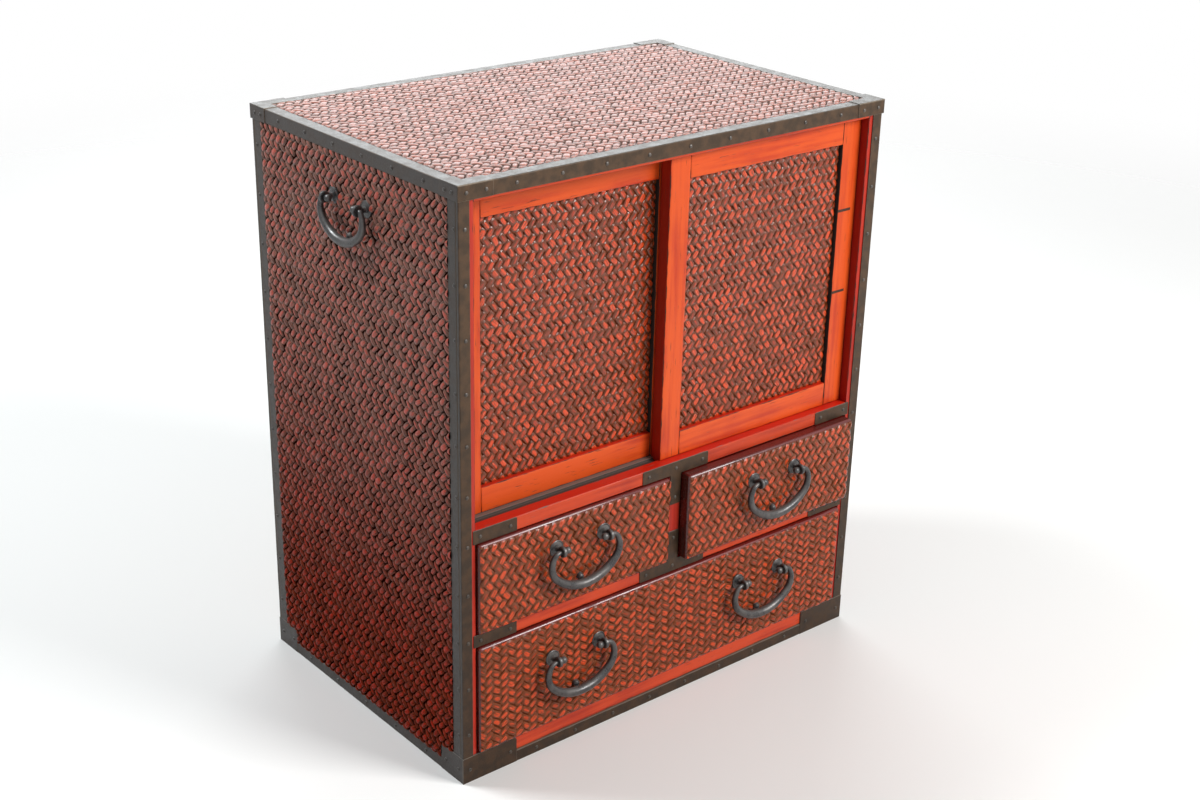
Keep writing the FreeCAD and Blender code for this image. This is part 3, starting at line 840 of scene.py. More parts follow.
@dataclass
class WovenSkin:
    """Twill of bamboo strips over a thin sheet, on one face of a board; the sheet takes the painted shade of
    the gaps between the strips.
    """

    node: str
    body: str
    face: Face
    material: Material
    seed: int
    pitch: float = 0.0108
    row: float = 0.0176
    lean: float = 44.0
    length: float = 0.0164
    width: float = 0.0066
    crown: float = 0.0011
    trough: float = 0.0012
    edge_drop: float = 0.0009
    end_power: float = 4.0
    bury: float = 0.0003
    sunk: float = 0.0
    steps: int = 6
    border: float = 0.004
    border_dip: float = 0.0011
    sheet_inset: float = 0.6
    turned: bool = False
    uneven: float = 1.8
    sway: float = 1.8
    length_spread: float = 0.03
    width_spread: float = 0.05
    slide_spread: float = 0.0003
    lift_spread: float = 0.0001
    tuck: Span = (0.0, 0.0)
    notch: Span = (0.0, 0.0)
    crease: float = 60.0

    def build(self) -> None:
        """Weaves the skin."""
        across, up, self.out = self.face.spans(*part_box(self.node))
        self.across = (across[0] + self.tuck[0], across[1] - self.tuck[0])
        self.up = (up[0] + self.tuck[1], up[1] - self.tuck[1])
        self.spans = (self.up, self.across) if self.turned else (self.across, self.up)
        shape = bmesh.new()
        names = (ALONG, ACROSS, TONE, HEIGHT, COLUMN, LINE)
        self.layers = {name: shape.verts.layers.float.new(name) for name in names}
        self._cast_strips(shape)
        self._lay_strips(shape)
        self._trim(shape)
        self._back_sheet(shape)
        fit_piece(shape, self.node, self.body, self.material, self.crease)

    def _counts(self) -> list[int]:
        """Numbers of columns and lines of strips, with one to spare at each end."""
        steps = (self.pitch, self.row)
        return [math.ceil((end - start) / step) + 2 for (start, end), step in zip(self.spans, steps)]

    def _cast_strips(self, shape: Shape) -> None:
        """Makes one strip and multiplies it into two kinds, columns and lines.

        Args:
            shape: Empty shape to fill.
        """
        bmesh.ops.create_grid(shape, x_segments=self.steps, y_segments=2 * len(STRIP_SECTION) - 2, size=0.5)
        for vert in shape.verts:
            vert[self.layers[ALONG]], vert[self.layers[ACROSS]] = vert.co.x, vert.co.y
        columns, lines = self._counts()
        self._multiply(shape, 2, (HALF_STEP, HALF_STEP), HALF_STEP)
        self._multiply(shape, columns, (1.0, 0.0), 1.0)
        self._multiply(shape, lines, (0.0, 1.0), 1.0)

    def _multiply(self, shape: Shape, count: int, step: Span, size: float) -> None:
        """Copies all strips until there are a number of them in a row.

        Args:
            shape: Shape of strips.
            count: Number of copies in the end, the first one included.
            step: Columns and lines from one copy to the next.
            size: Columns or lines that one copy takes up.
        """
        column, line = self.layers[COLUMN], self.layers[LINE]
        axis = column if step[0] else line
        done = 1
        while done < count:
            wanted = min(done, count - done)
            chosen = {vert for vert in shape.verts if vert[axis] < wanted * size - MERGE or done == wanted}
            faces = [face for face in shape.faces if face.verts[0] in chosen]
            for vert in only_verts(bmesh.ops.duplicate(shape, geom=faces)["geom"]):
                vert[column] += step[0] * done
                vert[line] += step[1] * done
            done += wanted

    def _habit(self, key: Span) -> StripHabit:
        """Draws the habit of a strip.

        Args:
            key: Column and line of the strip.

        Returns:
            How the strip differs.
        """
        chance = random.Random(f"{self.seed}/{key}")
        return StripHabit(
            turn=chance.gauss(0.0, self.sway * self.uneven),
            longer=chance.gauss(1.0, self.length_spread * self.uneven),
            wider=chance.gauss(1.0, self.width_spread * self.uneven),
            slide=chance.gauss(0.0, self.slide_spread * self.uneven),
            lift=chance.gauss(0.0, self.lift_spread * self.uneven),
            tone=chance.random(),
        )

    def _lay_strips(self, shape: Shape) -> None:
        """Bends every strip over two neighbours and under the next, each a little different.

        Args:
            shape: Shape of strips.
        """
        column, line = self.layers[COLUMN], self.layers[LINE]
        habits: dict[Span, StripHabit] = {}
        for vert in shape.verts:
            key = (vert[column], vert[line])
            if key not in habits:
                habits[key] = self._habit(key)
            self._lay(vert, key, habits[key])

    def _lay(self, vert: Vert, key: Span, habit: StripHabit) -> None:
        """Moves one point of a strip to its place in the weave.

        Args:
            vert: Point, which carries its place along and across the strip.
            key: Column and line of the strip.
            habit: How the strip differs.
        """
        along, across, tone, rise = (self.layers[name] for name in (ALONG, ACROSS, TONE, HEIGHT))
        last = len(STRIP_SECTION) - 1
        place = round(abs(vert[across]) * 2 * last)
        share, drop = STRIP_SECTION[place]
        side = math.copysign(share, vert[across]) * self.width * habit.wider
        reach = vert[along] * self.length * habit.longer + habit.slide
        leans_back = key[0] % 1.0 > 0.0
        crown = self.crown + habit.lift - (self.sunk if leans_back else 0.0)
        fall = abs(2 * vert[along]) ** self.end_power
        height = crown - drop * self.edge_drop - fall * (crown + self.trough + self.bury)
        if place == last:
            height = -self.trough - self.bury
        angle = math.radians(self.lean + habit.turn) * (-1.0 if leans_back else 1.0)
        strides = (self.pitch, self.row)
        middle = [span[0] + (at - 0.5) * stride for span, at, stride in zip(self.spans, key, strides)]
        first = middle[0] + reach * math.cos(angle) - side * math.sin(angle)
        second = middle[1] + reach * math.sin(angle) + side * math.cos(angle)
        over, up = (second, first) if self.turned else (first, second)
        near = min(over - self.across[0], self.across[1] - over, up - self.up[0], self.up[1] - up)
        dip = self.border_dip * max(0.0, 1.0 - max(near, 0.0) / self.border) ** 2
        vert.co = self.face.point(over, up, self.out[1] + height - dip)
        vert[rise] = (height - habit.lift + self.trough) / (self.crown + self.trough)
        vert[along], vert[across], vert[tone] = reach, side, habit.tone

    def _trim(self, shape: Shape) -> None:
        """Cuts the strips off at the skin's borders.

        Args:
            shape: Shape of laid strips.
        """
        for axis, ends in ((self.face.across, self.across), (self.face.up, self.up)):
            for end, way in zip(ends, (-1, 1)):
                cut_whole(shape, axis * end, axis * way, clear_outer=True)
        if any(self.notch):
            self._notch_corners(shape)

    def _notch_corners(self, shape: Shape) -> None:
        """Cuts the strips away at the skin's lower corners.

        Args:
            shape: Shape of trimmed strips.
        """
        face = self.face
        inset, rise = self.notch
        low, high = self.across
        for axis, end in ((face.across, low + inset), (face.across, high - inset), (face.up, rise)):
            cut_whole(shape, axis * end, axis)
        under = []
        for item in shape.faces:
            middle = item.calc_center_median()
            over = middle.dot(face.across)
            if min(over - low, high - over) < inset and middle.dot(face.up) < rise:
                under.append(item)
        bmesh.ops.delete(shape, geom=under, context="FACES")

    def _back_sheet(self, shape: Shape) -> None:
        """Adds the sheet that the strips lie on, which takes the painted shade of the gaps.

        Args:
            shape: Shape of trimmed strips.
        """
        verts = bmesh.ops.create_cube(shape, size=1.0)["verts"]
        inset = self.sheet_inset * self.border if self.border_dip > self.trough else 0.0
        low = self.face.point(self.across[0] + inset, self.up[0] + inset, self.out[0])
        high = self.face.point(self.across[1] - inset, self.up[1] - inset, self.out[1] - self.trough)
        size = high - low
        bmesh.ops.scale(shape, vec=[abs(length) for length in size], verts=verts)
        bmesh.ops.translate(shape, vec=(low + high) / 2, verts=verts)


@dataclass
class SlidingDoor:
    """Framed door that slides in tracks: stiles, rails and a woven panel."""

    side: str
    upright: Material
    level: Material
    weave: Material
    stile: float = 0.029
    rail: float = 0.0295
    edge: float = 0.0009
    rim: float = 0.0035
    tongue: float = 0.008
    tongue_edge: float = 0.0004
    tongue_rim: float = 0.002
    foot: float = 0.0026
    head: float = 0.0046
    lap: float = 0.001
    seed: int = 1
    scars: tuple[float, ...] = ()
    scar: Span = (0.021, 0.0028)
    scar_blur: float = 0.0004

    def build(self) -> None:
        """Builds the frame and weaves the panel's skin."""
        self.body = f"{self.side}_door"
        self.low, self.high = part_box(f"{self.body}_stiles")
        self._stiles()
        self._rails()
        WovenSkin(
            f"{self.body}_weave", self.body, Face.FRONT, self.weave, self.seed, pitch=0.0107, row=0.0181,
            lean=53.0, width=0.0080, crown=0.0009, trough=0.0010, edge_drop=0.0007, steps=8,
        ).build()

    def _member(self, shape: Shape, across: Span, up: Span) -> None:
        """Adds one bar of the frame over a span across and up."""
        low, high = (Vector((x, y, z)) for x, y, z in zip(across, (self.low.y, self.high.y), up))
        add_block(shape, low, high, self.edge, self.rim)

    def _runners(self, shape: Shape, across: Span) -> None:
        """Adds the tongues under and over a bar, which run in the tracks.

        Args:
            shape: Shape of the bars.
            across: Span of the bar across the door.
        """
        middle = (self.low.y + self.high.y) / 2
        deep = (middle - self.tongue / 2, middle + self.tongue / 2)
        lower = (self.low.z, self.low.z + self.foot + self.lap)
        upper = (self.high.z - self.head - self.lap, self.high.z)
        for up in (lower, upper):
            low, high = (Vector(corner) for corner in zip(across, deep, up))
            add_block(shape, low, high, self.tongue_edge, self.tongue_rim)

    def _stiles(self) -> None:
        """Makes the two upright bars with their tongues."""
        shape = new_shape()
        for across in ((self.low.x, self.low.x + self.stile), (self.high.x - self.stile, self.high.x)):
            self._member(shape, across, (self.low.z + self.foot, self.high.z - self.head))
            self._runners(shape, across)
        # Painted shade on the stiles' inner sides.
        self._shade_returns(shape)
        for level in self.scars:
            self._scar(shape, level)
        fit_piece(shape, f"{self.body}_stiles", self.body, self.upright)

    def _shade_returns(self, shape: Shape) -> None:
        """Paints near-black shade on the inner sides of the stiles, beside the panel.

        Args:
            shape: Shape of the stiles.
        """
        wear = shape.verts.layers.float[WEAR]
        middle = (self.low.x + self.high.x) / 2
        reach = middle - self.low.x - self.stile
        for face in shape.faces:
            inner = abs(abs(face.calc_center_median().x - middle) - reach) < NEAR
            if inner and abs(face.normal.x) > ALIKE:
                for vert in face.verts:
                    vert[wear] = FULLY_SHADED

    def _scar(self, shape: Shape, level: float) -> None:
        """Draws a dark line across the front of the outer stile.

        Args:
            shape: Shape of the stiles.
            level: Height of the line's lower edge.
        """
        wear = shape.verts.layers.float[WEAR]
        length, width = self.scar
        blur = self.scar_blur
        start = self.high.x - self.stile
        cuts = [(Vector((0, 0, 1)), level + step) for step in (-blur, 0.0, width, width + blur)]
        cuts += [(Vector((1, 0, 0)), start + step) for step in (length, length + blur)]
        for axis, place in cuts:
            faces = [
                face for face in shape.faces
                if -face.normal.y > AHEAD and face.calc_center_median().x > start
            ]
            edges = unique(edge for face in faces for edge in face.edges)
            verts = unique(vert for face in faces for vert in face.verts)
            bmesh.ops.bisect_plane(
                shape, geom=[*verts, *edges, *faces], dist=MERGE, plane_co=axis * place, plane_no=axis
            )
        for face in shape.faces:
            middle = face.calc_center_median()
            inside = start < middle.x < start + length and level < middle.z < level + width
            if inside and -face.normal.y > AHEAD:
                for vert in face.verts:
                    vert[wear] = GRIMY

    def _rails(self) -> None:
        """Makes the upper and the lower bar with their tongues."""
        shape = new_shape()
        across = (self.low.x + self.stile, self.high.x - self.stile)
        bottom, top = self.low.z + self.foot, self.high.z - self.head
        self._member(shape, across, (bottom, bottom + self.rail))
        self._member(shape, across, (top - self.rail, top))
        self._runners(shape, across)
        fit_piece(shape, f"{self.body}_rails", self.body, self.level)


# Profiles of the domed rosette and the strike stud: radius, and depth below the skin they stand on.
ROSETTE = (
    (0.0095, 0.0008), (0.0095, -0.0012), (0.0089, -0.0017), (0.0078, -0.0014), (0.0066, -0.0019),
    (0.0048, -0.0025), (0.0030, -0.0027),
)
STUD = (
    (0.0042, 0.0008), (0.0042, -0.0010), (0.0039, -0.0030), (0.0031, -0.0048),
    (0.0016, -0.0058), (0.0, -0.0060),
)

# Profile of a knob from its tip to its pin: distance along and radius, both over the knob's radius.
BALL = ((0.0, 0.28), (0.14, 0.62), (0.43, 0.88), (0.90, 1.0), (1.38, 0.93), (1.74, 0.74))
BALL_END = 1.92


@dataclass
class BailHandle:
    """Drop handle: a bow that swells to its middle, hung by knobbed pins in two eye posts."""

    bail: str
    face: Face
    spacing: float = 0.067
    corner: float = 0.0095
    shoulder: float = 0.0225
    corner_turn: float = 60.0
    shoulder_turn: float = 75.0
    eye_thickness: float = 0.004
    eye_radius: float = 0.0065
    eye_chamfer: Span = (0.0007, 0.0009)
    eye_gap: float = 0.0004
    bore: float = 0.0026
    standoff: float = 0.012
    seat: float = 0.0095
    seat_step: float = 0.0005
    neck: float = 0.0036
    neck_waist: Span = (0.86, 0.84)
    neck_ends: Span = (-0.0012, 0.001)
    leg: float = 0.0022
    leg_chamfer: float = 0.0006
    knob: float = 0.0042
    pin: float = 0.0024
    pin_lead: float = 0.001
    bow_end: float = 0.0025
    bow_middle: float = 0.0054
    bow_power: float = 0.8
    bow_steps: tuple[int, int, int] = (5, 7, 6)
    strike_rise: float = 0.004
    sides: int = 14
    broad_steps: int = 22
    neck_steps: int = 16
    leg_steps: int = 10
    crease: float = 50.0

    @property
    def hinge(self) -> Vector:
        """Middle of the hinge line, from the part's own joint."""
        joint = next(j for j in frame["joints"] if j["child"] == self.bail)
        return Vector(joint["pos_m"])

    @property
    def place(self) -> Matrix:
        """Placement of the handle on its face."""
        return self.face.frame_at(self.hinge)

    @property
    def bow_start(self) -> float:
        """Distance from the middle at which the bow leaves its pin."""
        return self.spacing / 2 + self.eye_thickness / 2 + self.eye_gap + self.pin_lead

    @property
    def arcs(self) -> list[Span]:
        """Arcs of half the bow.

        Returns:
            Radius and turn of the corner, the shoulder and the belly.
        """
        corner, shoulder = math.radians(self.corner_turn), math.radians(self.shoulder_turn)
        bent = corner + shoulder
        reach = self.bow_start + (self.corner - self.shoulder) * math.sin(corner)
        reach += self.shoulder * math.sin(bent)
        return [(self.corner, corner), (self.shoulder, shoulder), (reach / math.sin(bent), math.pi - bent)]

    @property
    def drop(self) -> float:
        """Drop of the bow.

        Returns:
            Distance from the hinge down to the middle line of the bow at its lowest.
        """
        fall, turned = 0.0, 0.0
        for radius, turn in self.arcs:
            fall += radius * (math.cos(turned) - math.cos(turned + turn))
            turned += turn
        return fall

    def build(self, iron: Material) -> None:
        """Makes the moving bail.

        Args:
            iron: Finish.
        """
        shape = new_shape()
        ring = self._knob(shape)
        ring = self._bow(shape, ring)
        self._last_knob(shape, ring)
        bmesh.ops.recalc_face_normals(shape, faces=shape.faces[:])
        bmesh.ops.transform(shape, matrix=self.place, verts=shape.verts[:])
        fit_piece(shape, self.bail, self.bail, iron, self.crease)

    def _steps(self) -> list[Span]:
        """Rings from the knob's tip to the bow.

        Returns:
            Distance from the tip and radius of each ring.
        """
        tip = self.spacing / 2 - self.eye_thickness / 2 - self.eye_gap - 2 * self.knob
        run = self.bow_start - tip
        rings = [(along * self.knob, radius * self.knob) for along, radius in BALL]
        rings += [(BALL_END * self.knob, self.pin), (run - self.pin_lead, self.pin), (run, self.bow_end)]
        return rings

    def _grow(self, shape: Shape, ring: list[Vert], move: Vector, factor: float) -> list[Vert]:
        """Draws a ring out by a straight step and scales it.

        Args:
            shape: Shape of the bail.
            ring: Vertices of the ring.
            move: Step to take.
            factor: New radius over the old one.

        Returns:
            Vertices of the new ring.
        """
        moved = only_verts(bmesh.ops.extrude_edge_only(shape, edges=edges_between(ring))["geom"])
        bmesh.ops.translate(shape, vec=move, verts=moved)
        self._swell(shape, moved, factor)
        return moved

    def _swell(self, shape: Shape, ring: list[Vert], factor: float) -> Vector:
        """Scales a ring about its middle.

        Args:
            shape: Shape of the bail.
            ring: Vertices of the ring.
            factor: New radius over the old one.

        Returns:
            Middle of the ring.
        """
        middle = sum((vert.co for vert in ring), Vector()) / len(ring)
        bmesh.ops.scale(shape, vec=(factor,) * 3, space=Matrix.Translation(-middle), verts=ring)
        return middle

    def _knob(self, shape: Shape) -> list[Vert]:
        """Makes the first knob and pin, from the tip outward.

        Args:
            shape: Empty shape to start.

        Returns:
            Ring at which the bow starts.
        """
        steps = self._steps()
        tip = steps[-1][0] - self.bow_start
        turn = Matrix.Translation((tip, 0, 0)) @ Matrix.Rotation(-math.pi / 2, 4, "Y")
        ring = bmesh.ops.create_circle(
            shape, cap_ends=True, segments=self.sides, radius=steps[0][1], matrix=turn
        )["verts"]
        for (start, old), (end, new) in zip(steps, steps[1:]):
            ring = self._grow(shape, ring, Vector((start - end, 0, 0)), new / old)
        return ring

    def _bow(self, shape: Shape, ring: list[Vert]) -> list[Vert]:
        """Spins the bow from the first pin round to the second one, thickest in the middle.

        Args:
            shape: Shape of the bail.
            ring: Ring at which the bow starts.

        Returns:
            Ring at which the bow ends.
        """
        half = [(radius, turn / count, count) for (radius, turn), count in zip(self.arcs, self.bow_steps)]
        turns = [(radius, turn) for radius, turn, count in half + half[::-1] for _ in range(count)]
        total = sum(radius * turn for radius, turn in turns)
        heading, done, thickness = Vector((-1, 0, 0)), 0.0, self.bow_end
        middle = Vector((-self.bow_start, 0, 0))
        for radius, turn in turns:
            centre = middle + Matrix.Rotation(-math.pi / 2, 3, "Y") @ heading * radius
            geometry = ring + edges_between(ring)
            spun = bmesh.ops.spin(shape, geom=geometry, cent=centre, axis=(0, 1, 0), angle=-turn, steps=1)
            ring = only_verts(spun["geom_last"])
            heading = Matrix.Rotation(-turn, 3, "Y") @ heading
            done += radius * turn
            swell = max(0.0, math.sin(math.pi * done / total)) ** self.bow_power
            wanted = self.bow_end + (self.bow_middle - self.bow_end) * swell
            middle = self._swell(shape, ring, wanted / thickness)
            thickness = wanted
        return ring

    def _last_knob(self, shape: Shape, ring: list[Vert]) -> None:
        """Makes the second pin and knob and closes its tip.

        Args:
            shape: Shape of the bail.
            ring: Ring at which the bow ends.
        """
        steps = self._steps()[::-1]
        for (start, old), (end, new) in zip(steps, steps[1:]):
            ring = self._grow(shape, ring, Vector((end - start, 0, 0)), new / old)
        bmesh.ops.contextual_create(shape, geom=edges_between(ring))

    def add_posts(self, shape: Shape, tail: float) -> None:
        """Adds the two eye posts to a shape.

        Args:
            shape: Shape of the posts of a drawer or of the case.
            tail: Distance from the hinge to the far end of a leg.
        """
        half, radius = self.eye_thickness / 2, self.eye_radius
        inset, back = self.eye_chamfer
        eye = [
            (self.bore, -half), (radius - inset, -half), (radius, -half + back),
            (radius, half - back), (radius - inset, half), (self.bore, half),
        ]
        start, waist = (radius + end for end in self.neck_ends)
        upper, lower = (self.neck * share for share in self.neck_waist)
        neck = [
            (0.0, start), (upper, start), (lower, waist), (self.neck, self.seat),
            (self.leg, self.seat + self.seat_step),
        ]
        chamfer = self.leg_chamfer
        leg = [(self.leg, self.seat), (self.leg, tail - chamfer), (self.leg - chamfer, tail), (0.0, tail)]
        for side in (-1, 1):
            foot = self.place @ Matrix.Translation((side * self.spacing / 2, 0, 0))
            across = foot @ Matrix.Rotation(math.pi / 2, 4, "Z")
            add_turned(shape, eye, across, self.broad_steps, closed=True)
            add_turned(shape, neck, foot, self.neck_steps)
            add_turned(shape, leg, foot, self.leg_steps)

    def add_seats(self, shape: Shape) -> None:
        """Adds the domed rosettes under the posts and the strike stud under the bow.

        Args:
            shape: Shape of the rosettes of a drawer or of the case.
        """
        rosette, stud = (
            [(radius, self.standoff + depth) for radius, depth in profile] for profile in (ROSETTE, STUD)
        )
        for side in (-1, 1):
            post = self.place @ Matrix.Translation((side * self.spacing / 2, 0, 0))
            add_turned(shape, rosette, post, self.broad_steps)
        strike = self.place @ Matrix.Translation((0, 0, self.strike_rise - self.drop))
        add_turned(shape, stud, strike, self.neck_steps)


@dataclass
class HandleSet:
    """Handles of one drawer, or of the case, with the posts and rosettes that stay on it."""

    body: str
    posts: str
    rosettes: str
    handles: list[BailHandle]
    iron: Material
    side_tail: float = 0.0336

    def build(self) -> None:
        """Makes the bails, their posts and their rosettes."""
        posts, rosettes = new_shape(), new_shape()
        for handle in self.handles:
            handle.build(self.iron)
            handle.add_posts(posts, self._tail(handle))
            handle.add_seats(rosettes)
        fit_piece(posts, self.posts, self.body, self.iron)
        fit_piece(rosettes, self.rosettes, self.body, self.iron)

    def _tail(self, handle: BailHandle) -> float:
        """Finds how far a handle's legs go in.

        Args:
            handle: Handle of this set.

        Returns:
            Distance from its hinge to the far end of a leg.
        """
        if handle.face is not Face.FRONT:
            return self.side_tail
        depth = handle.face.spans(*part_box(self.posts))[2]
        return handle.hinge.dot(handle.face.outward) - depth[0]


@dataclass
class Drawer:
    """Drawer with a woven front and drop handles; its box is the part's own."""

    name: str
    bails: tuple[str, ...]
    lacquer: Material
    weave: Material
    iron: Material
    seed: int
    pitch: float = 0.0115
    row: float = 0.0182
    lean: float = 51.0
    turned: bool = False
    edge: float = 0.004
    rim: float = 0.006
    lip: Span = (0.0012, 0.0026)

    def build(self) -> None:
        """Builds the front, its woven skin and its handles."""
        body = f"{self.name}_drawer"
        shape = new_shape()
        add_block(shape, *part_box(f"{body}_front"), self.edge, self.rim)
        fit_piece(shape, f"{body}_front", body, self.lacquer)
        WovenSkin(
            f"{body}_weave", body, Face.FRONT, self.weave, self.seed, pitch=self.pitch, row=self.row,
            lean=self.lean, width=0.0080, crown=0.0007, trough=0.0009, edge_drop=0.0006, steps=8,
            turned=self.turned, border=self.edge, border_dip=self.edge / 2, tuck=self.lip,
        ).build()
        handles = [BailHandle(bail, Face.FRONT) for bail in self.bails]
        HandleSet(body, f"{body}_posts", f"{body}_rosettes", handles, self.iron).build()


@dataclass
class CaseWood:
    """Lacquered boards of the case that show between the iron and the fronts."""

    across: Material
    upright: Material
    tracked: Material
    plain: Material
    edge: float = 0.0009
    planks: int = 5
    plank_gap: float = 0.0007
    groove: float = 0.0086
    groove_edge: float = 0.0004
    groove_rim: float = 0.003
    track: float = 0.018
    first_track: float = -0.1765

    def build(self) -> None:
        """Builds the sides, rails, shelf, divider, tracks and back."""
        for node in ("left_side_board", "right_side_board", "drawer_divider"):
            self._board(node, self.upright)
        for node in ("bottom_rail", "drawer_shelf"):
            self._board(node, self.across)
        self._tracks("door_sill_shelf", SlidingDoor.foot, upward=True)
        self._tracks("door_head_rail", SlidingDoor.head, upward=False)
        self._back()

    def _board(self, node: str, material: Material) -> None:
        """Makes one plain board.

        Args:
            node: CAD node of the board.
            material: Finish.
        """
        shape = new_shape()
        add_block(shape, *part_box(node), self.edge)
        fit_piece(shape, node, "case", material)

    def _tracks(self, node: str, depth: float, upward: bool) -> None:
        """Makes a board with the two grooves that the doors run in.

        Args:
            node: CAD node of the board.
            depth: Depth of a groove.
            upward: Whether the grooves are in its upper face.
        """
        low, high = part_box(node)
        face, floor, far = (high.z, high.z - depth, low.z) if upward else (low.z, low.z + depth, high.z)
        section = [(low.y, face)]
        for index in (0, 1):
            middle = self.first_track + index * self.track
            front, back = middle - self.groove / 2, middle + self.groove / 2
            section += [(front, face), (front, floor), (back, floor), (back, face)]
        section += [(high.y, face), (high.y, far), (low.y, far)]
        shape = new_shape()
        outline = [Vector((low.x, deep, level)) for deep, level in section]
        add_profile(shape, outline, Vector((high.x - low.x, 0, 0)), self.groove_edge, self.groove_rim)
        self._soil(shape, face, depth)
        fit_piece(shape, node, "case", self.tracked)

    def _soil(self, shape: Shape, face: float, depth: float) -> None:
        """Darkens the grooves with grime and painted shade, and wears the lacquer off the ridge between them.

        Args:
            shape: Shape of the grooved board.
            face: Height of the grooved face.
            depth: Depth of a groove.
        """
        wear = shape.verts.layers.float[WEAR]
        front = self.first_track - self.groove / 2
        back = self.first_track + self.track + self.groove / 2
        for vert in shape.verts:
            if not front - NEAR < vert.co.y < back + NEAR:
                continue
            # Ridge tops are worn bare; groove floors get grime with painted shade.
            sunk = abs(vert.co.z - face)
            if sunk < NEAR:
                vert[wear] = GRIMY
            elif sunk < depth + NEAR:
                vert[wear] = GRIMED_AND_SHADED

    def _back(self) -> None:
        """Makes the back of upright planks."""
        low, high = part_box("back_board")
        shape = new_shape()
        step = (high.x - low.x) / self.planks
        for index in range(self.planks):
            start = Vector((low.x + index * step + self.plank_gap / 2, low.y, low.z))
            end = Vector((low.x + (index + 1) * step - self.plank_gap / 2, high.y, high.z))
            add_block(shape, start, end)
        fit_piece(shape, "back_board", "case", self.plain)


def box_outline(across: Sequence[float], up: Sequence[float]) -> list[Span]:
    """Corners of an upright oblong between two ends across and two heights."""
    return [(across[0], up[0]), (across[1], up[0]), (across[1], up[1]), (across[0], up[1])]


